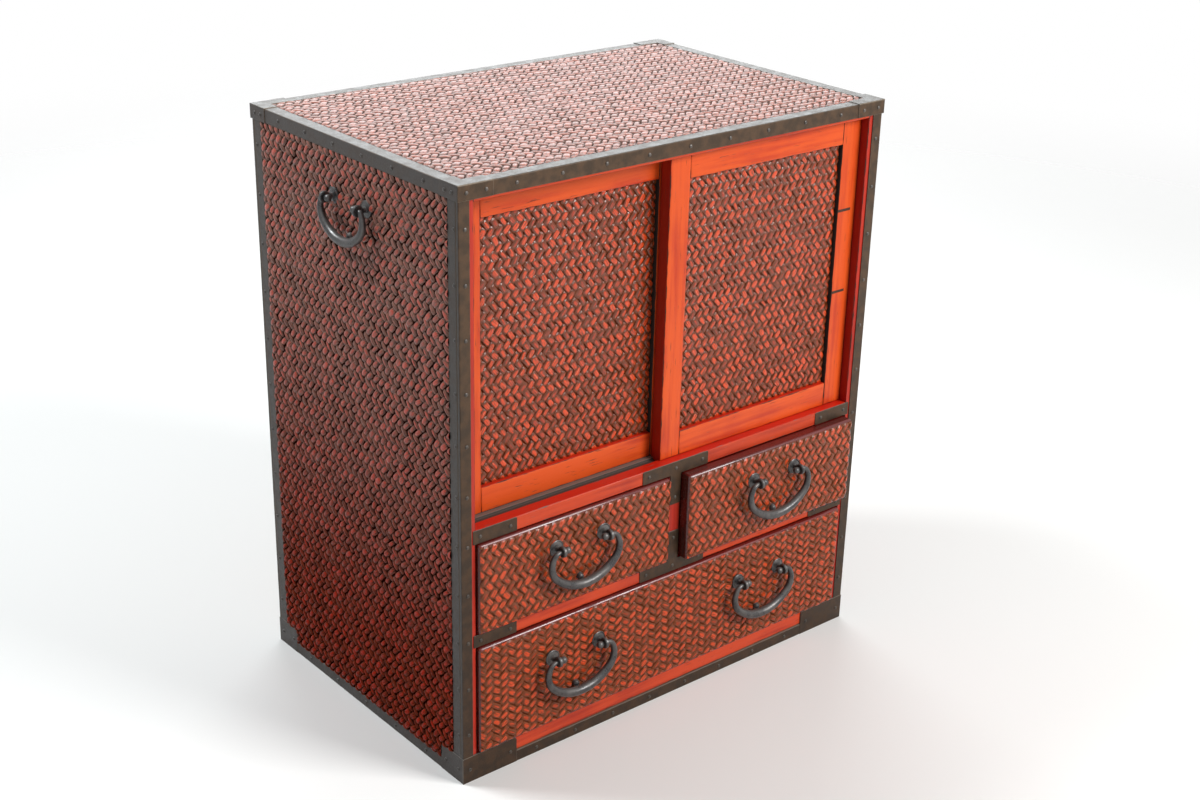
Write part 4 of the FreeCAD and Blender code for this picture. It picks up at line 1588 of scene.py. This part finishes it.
@dataclass
class IronBinding:
    """Straps, caps, plates and nails that bind the case."""

    iron: Material
    # Finish of the nail heads, rubbed bright and partly a painted glint.
    rubbed: Material
    strap: float = 0.016
    front_leaf: float = 0.0138
    wrap: float = 0.0044
    side_leaf: float = 0.0184
    seam: float = 0.0005
    gauge: float = 0.0016
    proud: float = 0.0006
    edge: float = 0.0004
    rim: float = 0.0014
    cap_front: float = 0.042
    cap_side: float = 0.030
    cap_gauge: float = 0.0008
    foot_front: float = 0.074
    foot_side: float = 0.042
    foot_gauge: float = 0.0020
    foot_corner: float = 0.0035
    plate_gauge: float = 0.0012
    plate_length: float = 0.058
    tee_bar: float = 0.100
    tee_stem: float = 0.016
    tee_drop: float = 0.038
    plate_corner: float = 0.0012
    nail_pitch: float = 0.058
    nail_radius: float = 0.0023
    nail_height: float = 0.0013
    nail_inset: float = 0.009
    nail_rings: tuple[int, int] = (8, 6)
    nail_foot: float = -0.05

    def build(self) -> None:
        """Builds every iron piece of the case."""
        low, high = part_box("upright_edge_straps")
        self.x, self.y = high.x, high.y
        self.foot, self.head = low.z, high.z
        self.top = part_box("top_edge_straps")[1].z
        self.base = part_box("base_edge_straps")[1].z
        self._uprights()
        self._top_straps()
        self._top_caps()
        self._base_straps()
        self._base_caps()
        self._rail_ends()
        self._tees()
        self._nails()

    def _dress(self, shape: Shape, node: str) -> None:
        """Makes a shape a piece of the case's iron."""
        fit_piece(shape, node, "case", self.iron)

    def _angle(self, shape: Shape, corner: Vector, first: Vector, second: Vector, run: Vector) -> None:
        """Adds an angle strap.

        Args:
            shape: Shape to add to.
            corner: Start of its outer corner.
            first: Reach of one leaf from the corner.
            second: Reach of the other leaf from the corner.
            run: Length and direction of the strap.
        """
        inward_first, inward_second = first.normalized() * self.gauge, second.normalized() * self.gauge
        outline = [
            corner, corner + first, corner + first + inward_second, corner + inward_first + inward_second,
            corner + second + inward_first, corner + second,
        ]
        add_profile(shape, outline, run, self.edge, self.rim)

    def _uprights(self) -> None:
        """Makes the corner uprights: an angle on each corner and a flat strap beside it on the side."""
        shape = new_shape()
        for side, face in ((-1, Face.LEFT), (1, Face.RIGHT)):
            for front in (-1, 1):
                corner = Vector((side * self.x, front * self.y, self.foot))
                leaves = Vector((-side * self.front_leaf, 0, 0)), Vector((0, -front * self.wrap, 0))
                self._angle(shape, corner, *leaves, Vector((0, 0, self.head - self.foot)))
                outer = corner.dot(face.across)
                reaches = (self.wrap + self.seam, self.side_leaf)
                ends = [outer - math.copysign(reach, outer) for reach in reaches]
                add_plate(shape, face, box_outline(ends, (self.foot, self.head)), self.x, self.gauge)
        self._dress(shape, "upright_edge_straps")

    def _top_straps(self) -> None:
        """Makes the four straps round the top edge, a little proud of the uprights."""
        shape = new_shape()
        down = Vector((0, 0, -self.strap))
        x, y = self.x + self.proud, self.y + self.proud
        inner = self.y - self.strap
        for end in (-1, 1):
            corner, leaf = Vector((-x, end * y, self.top)), Vector((0, -end * self.strap, 0))
            self._angle(shape, corner, leaf, down, Vector((2 * x, 0, 0)))
            corner, leaf = Vector((end * x, -inner, self.top)), Vector((-end * self.strap, 0, 0))
            self._angle(shape, corner, leaf, down, Vector((0, 2 * inner, 0)))
        self._dress(shape, "top_edge_straps")

    def _top_caps(self) -> None:
        """Makes the thin caps over the top corners."""
        shape = new_shape()
        level = self.proud + self.cap_gauge
        x, y = self.x + level, self.y + level
        end_x, end_y = self.x - self.cap_front, self.y - self.cap_side
        strap_x, strap_y = self.x - self.strap, self.y - self.strap
        angle = ((x, y), (end_x, y), (end_x, strap_y), (strap_x, strap_y), (strap_x, end_y), (x, end_y))
        up = (self.head, self.top)
        for side in (-1, 1):
            for face in (Face.FRONT, Face.BACK):
                add_plate(shape, face, box_outline(sorted((side * x, side * end_x)), up), y, self.cap_gauge)
            for face in (Face.LEFT, Face.RIGHT):
                add_plate(shape, face, box_outline(sorted((side * y, side * end_y)), up), x, self.cap_gauge)
            for front in (-1, 1):
                corner = [(side * across, front * deep) for across, deep in angle]
                add_plate(shape, Face.TOP, corner, self.top + self.cap_gauge, self.cap_gauge)
        self._dress(shape, "top_corner_caps")

    def _base_straps(self) -> None:
        """Makes the flat straps along the foot."""
        shape = new_shape()
        across, along = self.x - self.foot_front, self.y - self.foot_side
        for faces, reach, level in (
            ((Face.FRONT, Face.BACK), across, self.y), ((Face.LEFT, Face.RIGHT), along, self.x)
        ):
            for face in faces:
                add_plate(shape, face, box_outline((-reach, reach), (0, self.base)), level, self.gauge)
        self._dress(shape, "base_edge_straps")

    def _base_caps(self) -> None:
        """Makes the caps round the foot's corners, their inner upper corners rounded off."""
        shape = new_shape()
        level = self.foot_gauge - self.gauge
        x, y = self.x + level, self.y + level
        for side in (-1, 1):
            for face in (Face.FRONT, Face.BACK):
                self._foot_leaf(shape, face, side * x, side * (self.x - self.foot_front), y)
            for face in (Face.LEFT, Face.RIGHT):
                outer, inner = side * (y - self.foot_gauge), side * (self.y - self.foot_side)
                self._foot_leaf(shape, face, outer, inner, x)
        self._dress(shape, "base_corner_caps")

    def _foot_leaf(self, shape: Shape, face: Face, outer: float, inner: float, level: float) -> None:
        """Adds one leaf of a foot cap.

        Args:
            shape: Shape to add to.
            face: Side of the case that it lies on.
            outer: Its end at the corner, across the face.
            inner: Its other end.
            level: Distance of its outer plane from the chest's middle.
        """
        radius = self.foot_corner
        way = math.copysign(radius, outer - inner)
        outline = [(outer, 0.0), (outer, self.foot), (inner + way, self.foot)]
        for degrees in (67.5, 45.0, 22.5):
            turn = math.radians(degrees)
            outline.append((inner + way - way * math.cos(turn), self.foot - radius * (1 - math.sin(turn))))
        outline += [(inner, self.foot - radius), (inner, 0.0)]
        add_plate(shape, face, outline, level, self.foot_gauge)

    def _levels(self) -> list[Span]:
        """Heights of the sill's and the shelf's front edges."""
        return [(low.z, high.z) for low, high in (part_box("door_sill_shelf"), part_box("drawer_shelf"))]

    def _rail_ends(self) -> None:
        """Makes the plates at the ends of the sill and the shelf."""
        shape = new_shape()
        level = -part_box("rail_end_plates")[0].y
        cut = self.plate_corner
        for low, high in self._levels():
            for side in (-1, 1):
                outer, inner = side * (self.x - self.strap), side * (self.x - self.strap - self.plate_length)
                near = inner + side * cut
                outline = [(outer, low), (outer, high), (near, high)]
                outline += [(inner, high - cut), (inner, low + cut), (near, low)]
                add_plate(shape, Face.FRONT, outline, level, self.plate_gauge)
        self._dress(shape, "rail_end_plates")

    def _tees(self) -> None:
        """Makes the two T plates at the ends of the divider."""
        shape = new_shape()
        level = -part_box("tee_plates")[0].y
        bar, stem, cut = self.tee_bar / 2, self.tee_stem / 2, self.plate_corner
        for (low, high), way in zip(self._levels(), (-1, 1)):
            joint, back = (low, high) if way < 0 else (high, low)
            end = joint + way * self.tee_drop
            half = [
                (bar - cut, back), (bar, back + way * cut), (bar, joint - way * cut), (bar - cut, joint),
                (stem, joint), (stem, end - way * cut), (stem - cut, end),
            ]
            outline = half + [(-across, up) for across, up in half[::-1]]
            add_plate(shape, Face.FRONT, outline, level, self.plate_gauge)
        self._dress(shape, "tee_plates")

    def _row(self, start: Vector, end: Vector) -> list[Vector]:
        """Spaces nails between two points, about one pitch apart.

        Args:
            start: First point.
            end: Last point.

        Returns:
            Places of the nails.
        """
        run = end - start
        count = max(1, round(run.length / self.nail_pitch))
        return [start + run * ((index + 0.5) / count) for index in range(count)]

    def _plate_nails(self) -> list[tuple[Vector, Face]]:
        """Place and face of the nails near the ends of the front's plates.

        Returns:
            Seats of the nails on the plates, each with the side of the case that it is on.
        """
        level = -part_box("rail_end_plates")[0].y
        outer = self.x - self.strap - self.nail_inset
        inner = self.x - self.strap - self.plate_length + self.nail_inset
        bar = self.tee_bar / 2 - self.nail_inset
        spots = []
        for (low, high), way in zip(self._levels(), (-1, 1)):
            joint = low if way < 0 else high
            spots += [(across, (low + high) / 2) for across in (-outer, -inner, -bar, 0.0, bar, inner, outer)]
            spots.append((0.0, joint + way * (self.tee_drop - self.nail_inset)))
        return [(Face.FRONT.point(across, up, level), Face.FRONT) for across, up in spots]

    def _cap_nails(self) -> list[tuple[Vector, Face]]:
        """Place and face of the nails near both ends of every leaf of the corner caps.

        Returns:
            Seats of the nails on the caps, each with the side of the case that it is on.
        """
        places = []
        for faces, edge, depth, top_leaf, foot_leaf in (
            ((Face.FRONT, Face.BACK), self.x, self.y, self.cap_front, self.foot_front),
            ((Face.LEFT, Face.RIGHT), self.y, self.x, self.cap_side, self.foot_side),
        ):
            rows = (
                (top_leaf, self.top - self.strap / 2, depth + self.proud + self.cap_gauge),
                (foot_leaf, self.foot / 2, depth + self.foot_gauge - self.gauge),
            )
            for leaf, up, level in rows:
                for across in (edge - self.nail_inset, edge - leaf + self.nail_inset):
                    for face in faces:
                        places += [(face.point(side * across, up, level), face) for side in (-1, 1)]
        return places

    def _strap_nails(self) -> list[tuple[Vector, Face]]:
        """Place and face of every strap nail.

        Returns:
            Seats of the nails on the straps, each with the side of the case that it is on.
        """
        places = []
        centre = self.strap / 2
        for faces, edge, flat, top_leaf, foot_leaf in (
            ((Face.FRONT, Face.BACK), self.x, self.y, self.cap_front, self.foot_front),
            ((Face.LEFT, Face.RIGHT), self.y, self.x, self.cap_side, self.foot_side),
        ):
            level_rows = (
                (edge - top_leaf, self.top - centre, flat + self.proud),
                (edge - foot_leaf, self.base / 2, flat),
            )
            for face in faces:
                rows = [[face.point(way * at, up, out) for way in (-1, 1)] for at, up, out in level_rows]
                for way in (-1, 1):
                    at = way * (edge - centre)
                    rows.append([face.point(at, up, flat) for up in (self.foot, self.head)])
                places += [(place, face) for start, end in rows for place in self._row(start, end)]
        return places

    def _nails(self) -> None:
        """Makes the low domed head of every nail."""
        shape = new_shape()
        around, along = self.nail_rings
        bmesh.ops.create_uvsphere(shape, u_segments=around, v_segments=along, radius=1.0)
        cut_whole(shape, Vector((0, 0, self.nail_foot)), Vector((0, 0, -1)), clear_outer=True)
        size = (self.nail_radius, self.nail_radius, self.nail_height)
        bmesh.ops.scale(shape, vec=size, verts=shape.verts[:])
        first = shape.faces[:]
        for place, face in self._strap_nails() + self._plate_nails() + self._cap_nails():
            head = only_verts(bmesh.ops.duplicate(shape, geom=first)["geom"])
            turn = Matrix((face.across, face.up, face.outward)).transposed().to_4x4()
            bmesh.ops.transform(shape, matrix=Matrix.Translation(place) @ turn, verts=head)
        bmesh.ops.delete(shape, geom=first, context="FACES")
        fit_piece(shape, "strap_nails", "case", self.rubbed)


@dataclass(frozen=True)
class Lamp:
    """Soft square lamp: where it hangs, what it faces, the side of its square and its power in watts."""

    name: str
    place: Triple
    aim: Triple
    size: float
    power: float
    tint: Triple = (1.0, 1.0, 1.0)

    def hang(self) -> None:
        """Hangs the lamp out of the camera's sight."""
        light = bpy.data.lights.new(self.name, "AREA")
        light.size, light.energy, light.color = self.size, self.power, self.tint
        holder = bpy.data.objects.new(self.name, light)
        turn = (Vector(self.aim) - Vector(self.place)).to_track_quat("-Z", "Y")
        holder.matrix_world = Matrix.Translation(self.place) @ turn.to_matrix().to_4x4()
        holder.visible_camera = False
        bpy.context.scene.collection.objects.link(holder)


COOL = (0.92, 0.97, 1.0)
LAMPS = (
    Lamp("front light", place=(1.3, -2.6, 2.1), aim=(0.0, 0.0, 0.3), size=1.3, power=104.0),
    Lamp("back light", place=(1.6, 2.3, 1.9), aim=(0.0, 0.0, 0.6), size=2.4, power=46.0, tint=COOL),
    Lamp("side light", place=(-1.2, 1.2, 2.6), aim=(-0.3, 0.0, 0.4), size=0.8, power=54.0, tint=COOL),
)


@dataclass
class Studio:
    """Pale floor, soft light and the camera."""

    camera_place: Triple = (-1.26648, -1.55281, 1.18443)
    bearing: float = -40.29
    tilt: float = 66.68
    roll: float = 1.38
    lens: float = 53.64
    floor_size: float = 8.0
    floor_colour: Colour = (0.90, 0.89, 0.87, 1.0)
    floor_fade: Span = (1.3, 3.2)
    floor_roughness: float = 0.8
    floor_grain: float = 30.0
    floor_relief: float = 0.0002
    white: Colour = (1.0, 1.0, 1.0, 1.0)
    ambient: float = 0.24

    def build(self) -> None:
        """Sets up the floor, the light and the camera."""
        self._floor()
        self._sky()
        for lamp in LAMPS:
            lamp.hang()
        self._camera()

    def _floor(self) -> None:
        """Lays the floor."""
        shape = bmesh.new()
        bmesh.ops.create_grid(shape, x_segments=1, y_segments=1, size=self.floor_size / 2)
        mesh = bpy.data.meshes.new("floor")
        shape.to_mesh(mesh)
        shape.free()
        shader = Shader("pale floor")
        length = shader.tree.nodes.new("ShaderNodeVectorMath")
        length.operation = "LENGTH"
        shader.feed(length.inputs[0], shader.place)
        alpha = shader.fade(length.outputs["Value"], *self.floor_fade, 1.0, 0.0)
        shader.feed(shader.surface.inputs["Alpha"], alpha)
        grain = shader.noise(shader.place, self.floor_grain)
        finish = shader.finish(self.floor_colour, self.floor_roughness, grain, self.floor_relief)
        mesh.materials.append(finish)
        floor = bpy.data.objects.new("floor", mesh)
        bpy.context.scene.collection.objects.link(floor)

    def _sky(self) -> None:
        """Sets a surround that lights evenly, and is white to the camera and in reflections."""
        world = bpy.data.worlds.new("white surround")
        world.use_nodes = True
        nodes, links = world.node_tree.nodes, world.node_tree.links
        nodes.clear()
        output = nodes.new("ShaderNodeOutputWorld")
        path = nodes.new("ShaderNodeLightPath")
        mix = nodes.new("ShaderNodeMixShader")
        for strength, socket in ((self.ambient, mix.inputs[1]), (1.0, mix.inputs[2])):
            background = nodes.new("ShaderNodeBackground")
            background.inputs["Color"].default_value = self.white
            background.inputs["Strength"].default_value = strength
            links.new(background.outputs["Background"], socket)
        share = path.outputs["Is Camera Ray"]
        for ray in ("Is Glossy Ray", "Is Transmission Ray"):
            either = nodes.new("ShaderNodeMath")
            either.operation = "MAXIMUM"
            links.new(share, either.inputs[0])
            links.new(path.outputs[ray], either.inputs[1])
            share = either.outputs["Value"]
        links.new(share, mix.inputs[0])
        links.new(mix.outputs["Shader"], output.inputs["Surface"])
        bpy.context.scene.world = world

    def _camera(self) -> None:
        """Places the camera."""
        view = bpy.data.cameras.new("camera")
        view.lens, view.sensor_fit = self.lens, "HORIZONTAL"
        holder = bpy.data.objects.new("camera", view)
        place = Matrix.Translation(self.camera_place)
        for angle, axis in ((self.bearing, "Z"), (self.tilt, "X"), (self.roll, "Z")):
            place = place @ Matrix.Rotation(math.radians(angle), 4, axis)
        holder.matrix_world = place
        bpy.context.scene.collection.objects.link(holder)
        bpy.context.scene.camera = holder
        bpy.context.scene.view_settings.view_transform = "Standard"


FRAME_RED = {grain: Lacquer(grain) for grain in (Grain.UPRIGHT, Grain.ACROSS)}
# Drawer front boards: a very dark red, painted shade of the gaps round the drawers, with painted shade again
# on faces that look sideways or up.
SHADED_MAROON = Lacquer(
    Grain.ACROSS, "maroon lacquer", bright=(0.16, 0.012, 0.007, 1.0), deep=(0.060, 0.006, 0.004, 1.0),
    side_shade=(0.050, 0.005, 0.003, 1.0), shelf=(0.10, 0.006, 0.004, 1.0), rub=0.6, sheen=0.16, gloss=0.6,
)
# Low rails: a deeper red, painted shade low on the front.
LOW_RED = Lacquer(
    Grain.ACROSS, "low red lacquer", bright=(0.54, 0.050, 0.010, 1.0), deep=(0.34, 0.020, 0.005, 1.0)
)
# Sill and head rail: the low rails' painted shade, with grey-brown wear on the ridge.
TRACK_RED = Lacquer(
    Grain.ACROSS, "track lacquer", LOW_RED.bright, LOW_RED.deep, grime=(0.17, 0.115, 0.095, 1.0)
)
# Side boards and divider: a deeper red, painted shade.
SHADED_JAMB_RED = Lacquer(
    Grain.UPRIGHT, "shaded jamb lacquer", bright=(0.44, 0.024, 0.009, 1.0), deep=(0.28, 0.010, 0.005, 1.0)
)
OILED_IRON = Iron("oiled iron")
# Handles: dark grey iron, lightened partly as a painted sheen.
BLACK_IRON = Iron(
    "black iron", dark=(0.058, 0.056, 0.058, 1.0), brown=(0.112, 0.104, 0.100, 1.0),
    bright=(0.24, 0.23, 0.22, 1.0), foot=(0.80, 0.78, 0.76, 1.0), sheen=0.28, metal=0.5, gloss=0.6,
)
# Nail heads: rubbed bright, partly a painted glint.
GLINTING_RUBBED_IRON = Iron(
    "rubbed iron with painted glint", dark=(0.060, 0.050, 0.042, 1.0), brown=(0.11, 0.092, 0.078, 1.0),
    bright=(0.30, 0.27, 0.24, 1.0), sheen=0.30,
)
DOOR_BAMBOO = Bamboo("woven bamboo")
# Drawer fronts: the worn red a little darker than on the doors, painted shade for the lower fronts.
DRAWER_BAMBOO = Bamboo(
    "drawer woven bamboo", worn=(0.57, 0.064, 0.017, 1.0), dull=(0.36, 0.037, 0.011, 1.0),
    ground=(0.162, 0.042, 0.014, 1.0),
)
# Sides: greyer with dust, the worn red darker as painted shade, deep painted shade in the gaps, and reddened
# toward the floor as painted shade with less dust low down.
DUSTY_SHADED_BAMBOO = Bamboo(
    "dusty woven bamboo", worn=(0.51, 0.070, 0.040, 1.0), dull=(0.31, 0.060, 0.040, 1.0),
    ground=(0.188, 0.080, 0.056, 1.0), scuff_and_highlight=(0.56, 0.30, 0.24, 1.0), gap_shade=(0.024, 0.008, 0.005, 1.0),
    foot=(0.62, 0.20, 0.09, 1.0), bare=0.68, sheen=0.28, gloss=(0.04, 0.38), gap=(0.12, 0.66),
    streak=(0.54, 1.50),
)
# Top: pale pink, partly faded and partly a painted reflection of the bright surround.
FADED_REFLECTING_BAMBOO = Bamboo(
    "faded and reflecting woven bamboo", worn=(0.45, 0.165, 0.120, 1.0), dull=(0.32, 0.130, 0.100, 1.0),
    ground=(0.205, 0.128, 0.107, 1.0), scuff_and_highlight=(0.70, 0.46, 0.41, 1.0), gap_shade=(0.19, 0.120, 0.101, 1.0),
    bare=0.48, sheen=0.32, gloss=(0.40, 0.40),
)


def build_case_skins() -> None:
    """Weaves the skins of the sides and the top."""
    dusty_shaded = DUSTY_SHADED_BAMBOO.material()
    tuck = IronBinding.side_leaf - IronBinding.strap
    notch = (IronBinding.foot_side - IronBinding.side_leaf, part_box("base_corner_caps")[1].z)
    for seed, (node, face) in enumerate((("left_side_weave", Face.LEFT), ("right_side_weave", Face.RIGHT))):
        WovenSkin(
            node, "case", face, dusty_shaded, 10 + seed, pitch=0.0114, row=0.0173, width=0.0074, crown=0.0021,
            edge_drop=0.0015, sunk=0.0004, uneven=2.2, steps=5, tuck=(tuck, 0.0), notch=notch,
        ).build()
    WovenSkin(
        "top_weave", "case", Face.TOP, FADED_REFLECTING_BAMBOO.material(), 20, pitch=0.0111, row=0.0191, crown=0.0010,
        trough=0.0011, edge_drop=0.0007, steps=5, lean=42.0, length=0.0172, width=0.0070, uneven=2.0,
    ).build()


def build_fronts(black: Material) -> None:
    """Builds the doors and the drawers.

    Args:
        black: Iron of the handles.
    """
    upright, level = (FRAME_RED[grain].material() for grain in (Grain.UPRIGHT, Grain.ACROSS))
    woven, shaded_maroon, drawn = DOOR_BAMBOO.material(), SHADED_MAROON.material(), DRAWER_BAMBOO.material()
    scars = {"left": (), "right": (0.4565, 0.5585)}
    for seed, side in enumerate(("left", "right")):
        SlidingDoor(side, upright, level, woven, seed=30 + seed, scars=scars[side]).build()
        Drawer(side, (f"{side}_drawer_bail",), shaded_maroon, drawn, black, 40 + seed).build()
    bails = ("wide_drawer_left_bail", "wide_drawer_right_bail")
    Drawer("wide", bails, shaded_maroon, drawn, black, 50, pitch=0.0104, row=0.0206, lean=55.0, turned=True).build()


def build_carry_handles(black: Material) -> None:
    """Hangs the carrying handles on the sides of the case.

    Args:
        black: Iron of the handles.
    """
    handles = [
        BailHandle(bail, face, spacing=0.064, corner=0.0032, shoulder=0.021)
        for bail, face in (("left_carry_bail", Face.LEFT), ("right_carry_bail", Face.RIGHT))
    ]
    HandleSet("case", "carry_posts", "carry_rosettes", handles, black).build()


def dress_plain_boards(woods: dict[Grain, Material]) -> None:
    """Finishes the boards that are shown as they come from the part.

    Args:
        woods: Stained wood for each way of the grain.
    """
    runs = {"top_board": Grain.ACROSS, "bottom_board": Grain.ACROSS}
    for node, piece in frame["nodes"].items():
        if piece.hide_render:
            continue
        grain = runs.get(node, Grain.UPRIGHT if node.endswith("panel") else Grain.DEEP)
        if node.endswith("drawer_back"):
            grain = Grain.ACROSS
        piece.data.materials.clear()
        piece.data.materials.append(woods[grain])
        LOG.info("%s: stained wood", node)


def main() -> None:
    """Builds the chest and its setting."""
    logging.basicConfig(level=logging.INFO, format="%(message)s")
    woods = {grain: StainedWood(grain).material() for grain in Grain}
    black = BLACK_IRON.material()
    CaseWood(LOW_RED.material(), SHADED_JAMB_RED.material(), TRACK_RED.material(), woods[Grain.UPRIGHT]).build()
    build_case_skins()
    build_fronts(black)
    IronBinding(OILED_IRON.material(), GLINTING_RUBBED_IRON.material()).build()
    build_carry_handles(black)
    dress_plain_boards(woods)
    Studio().build()


if __name__ == "__main__":
    main()
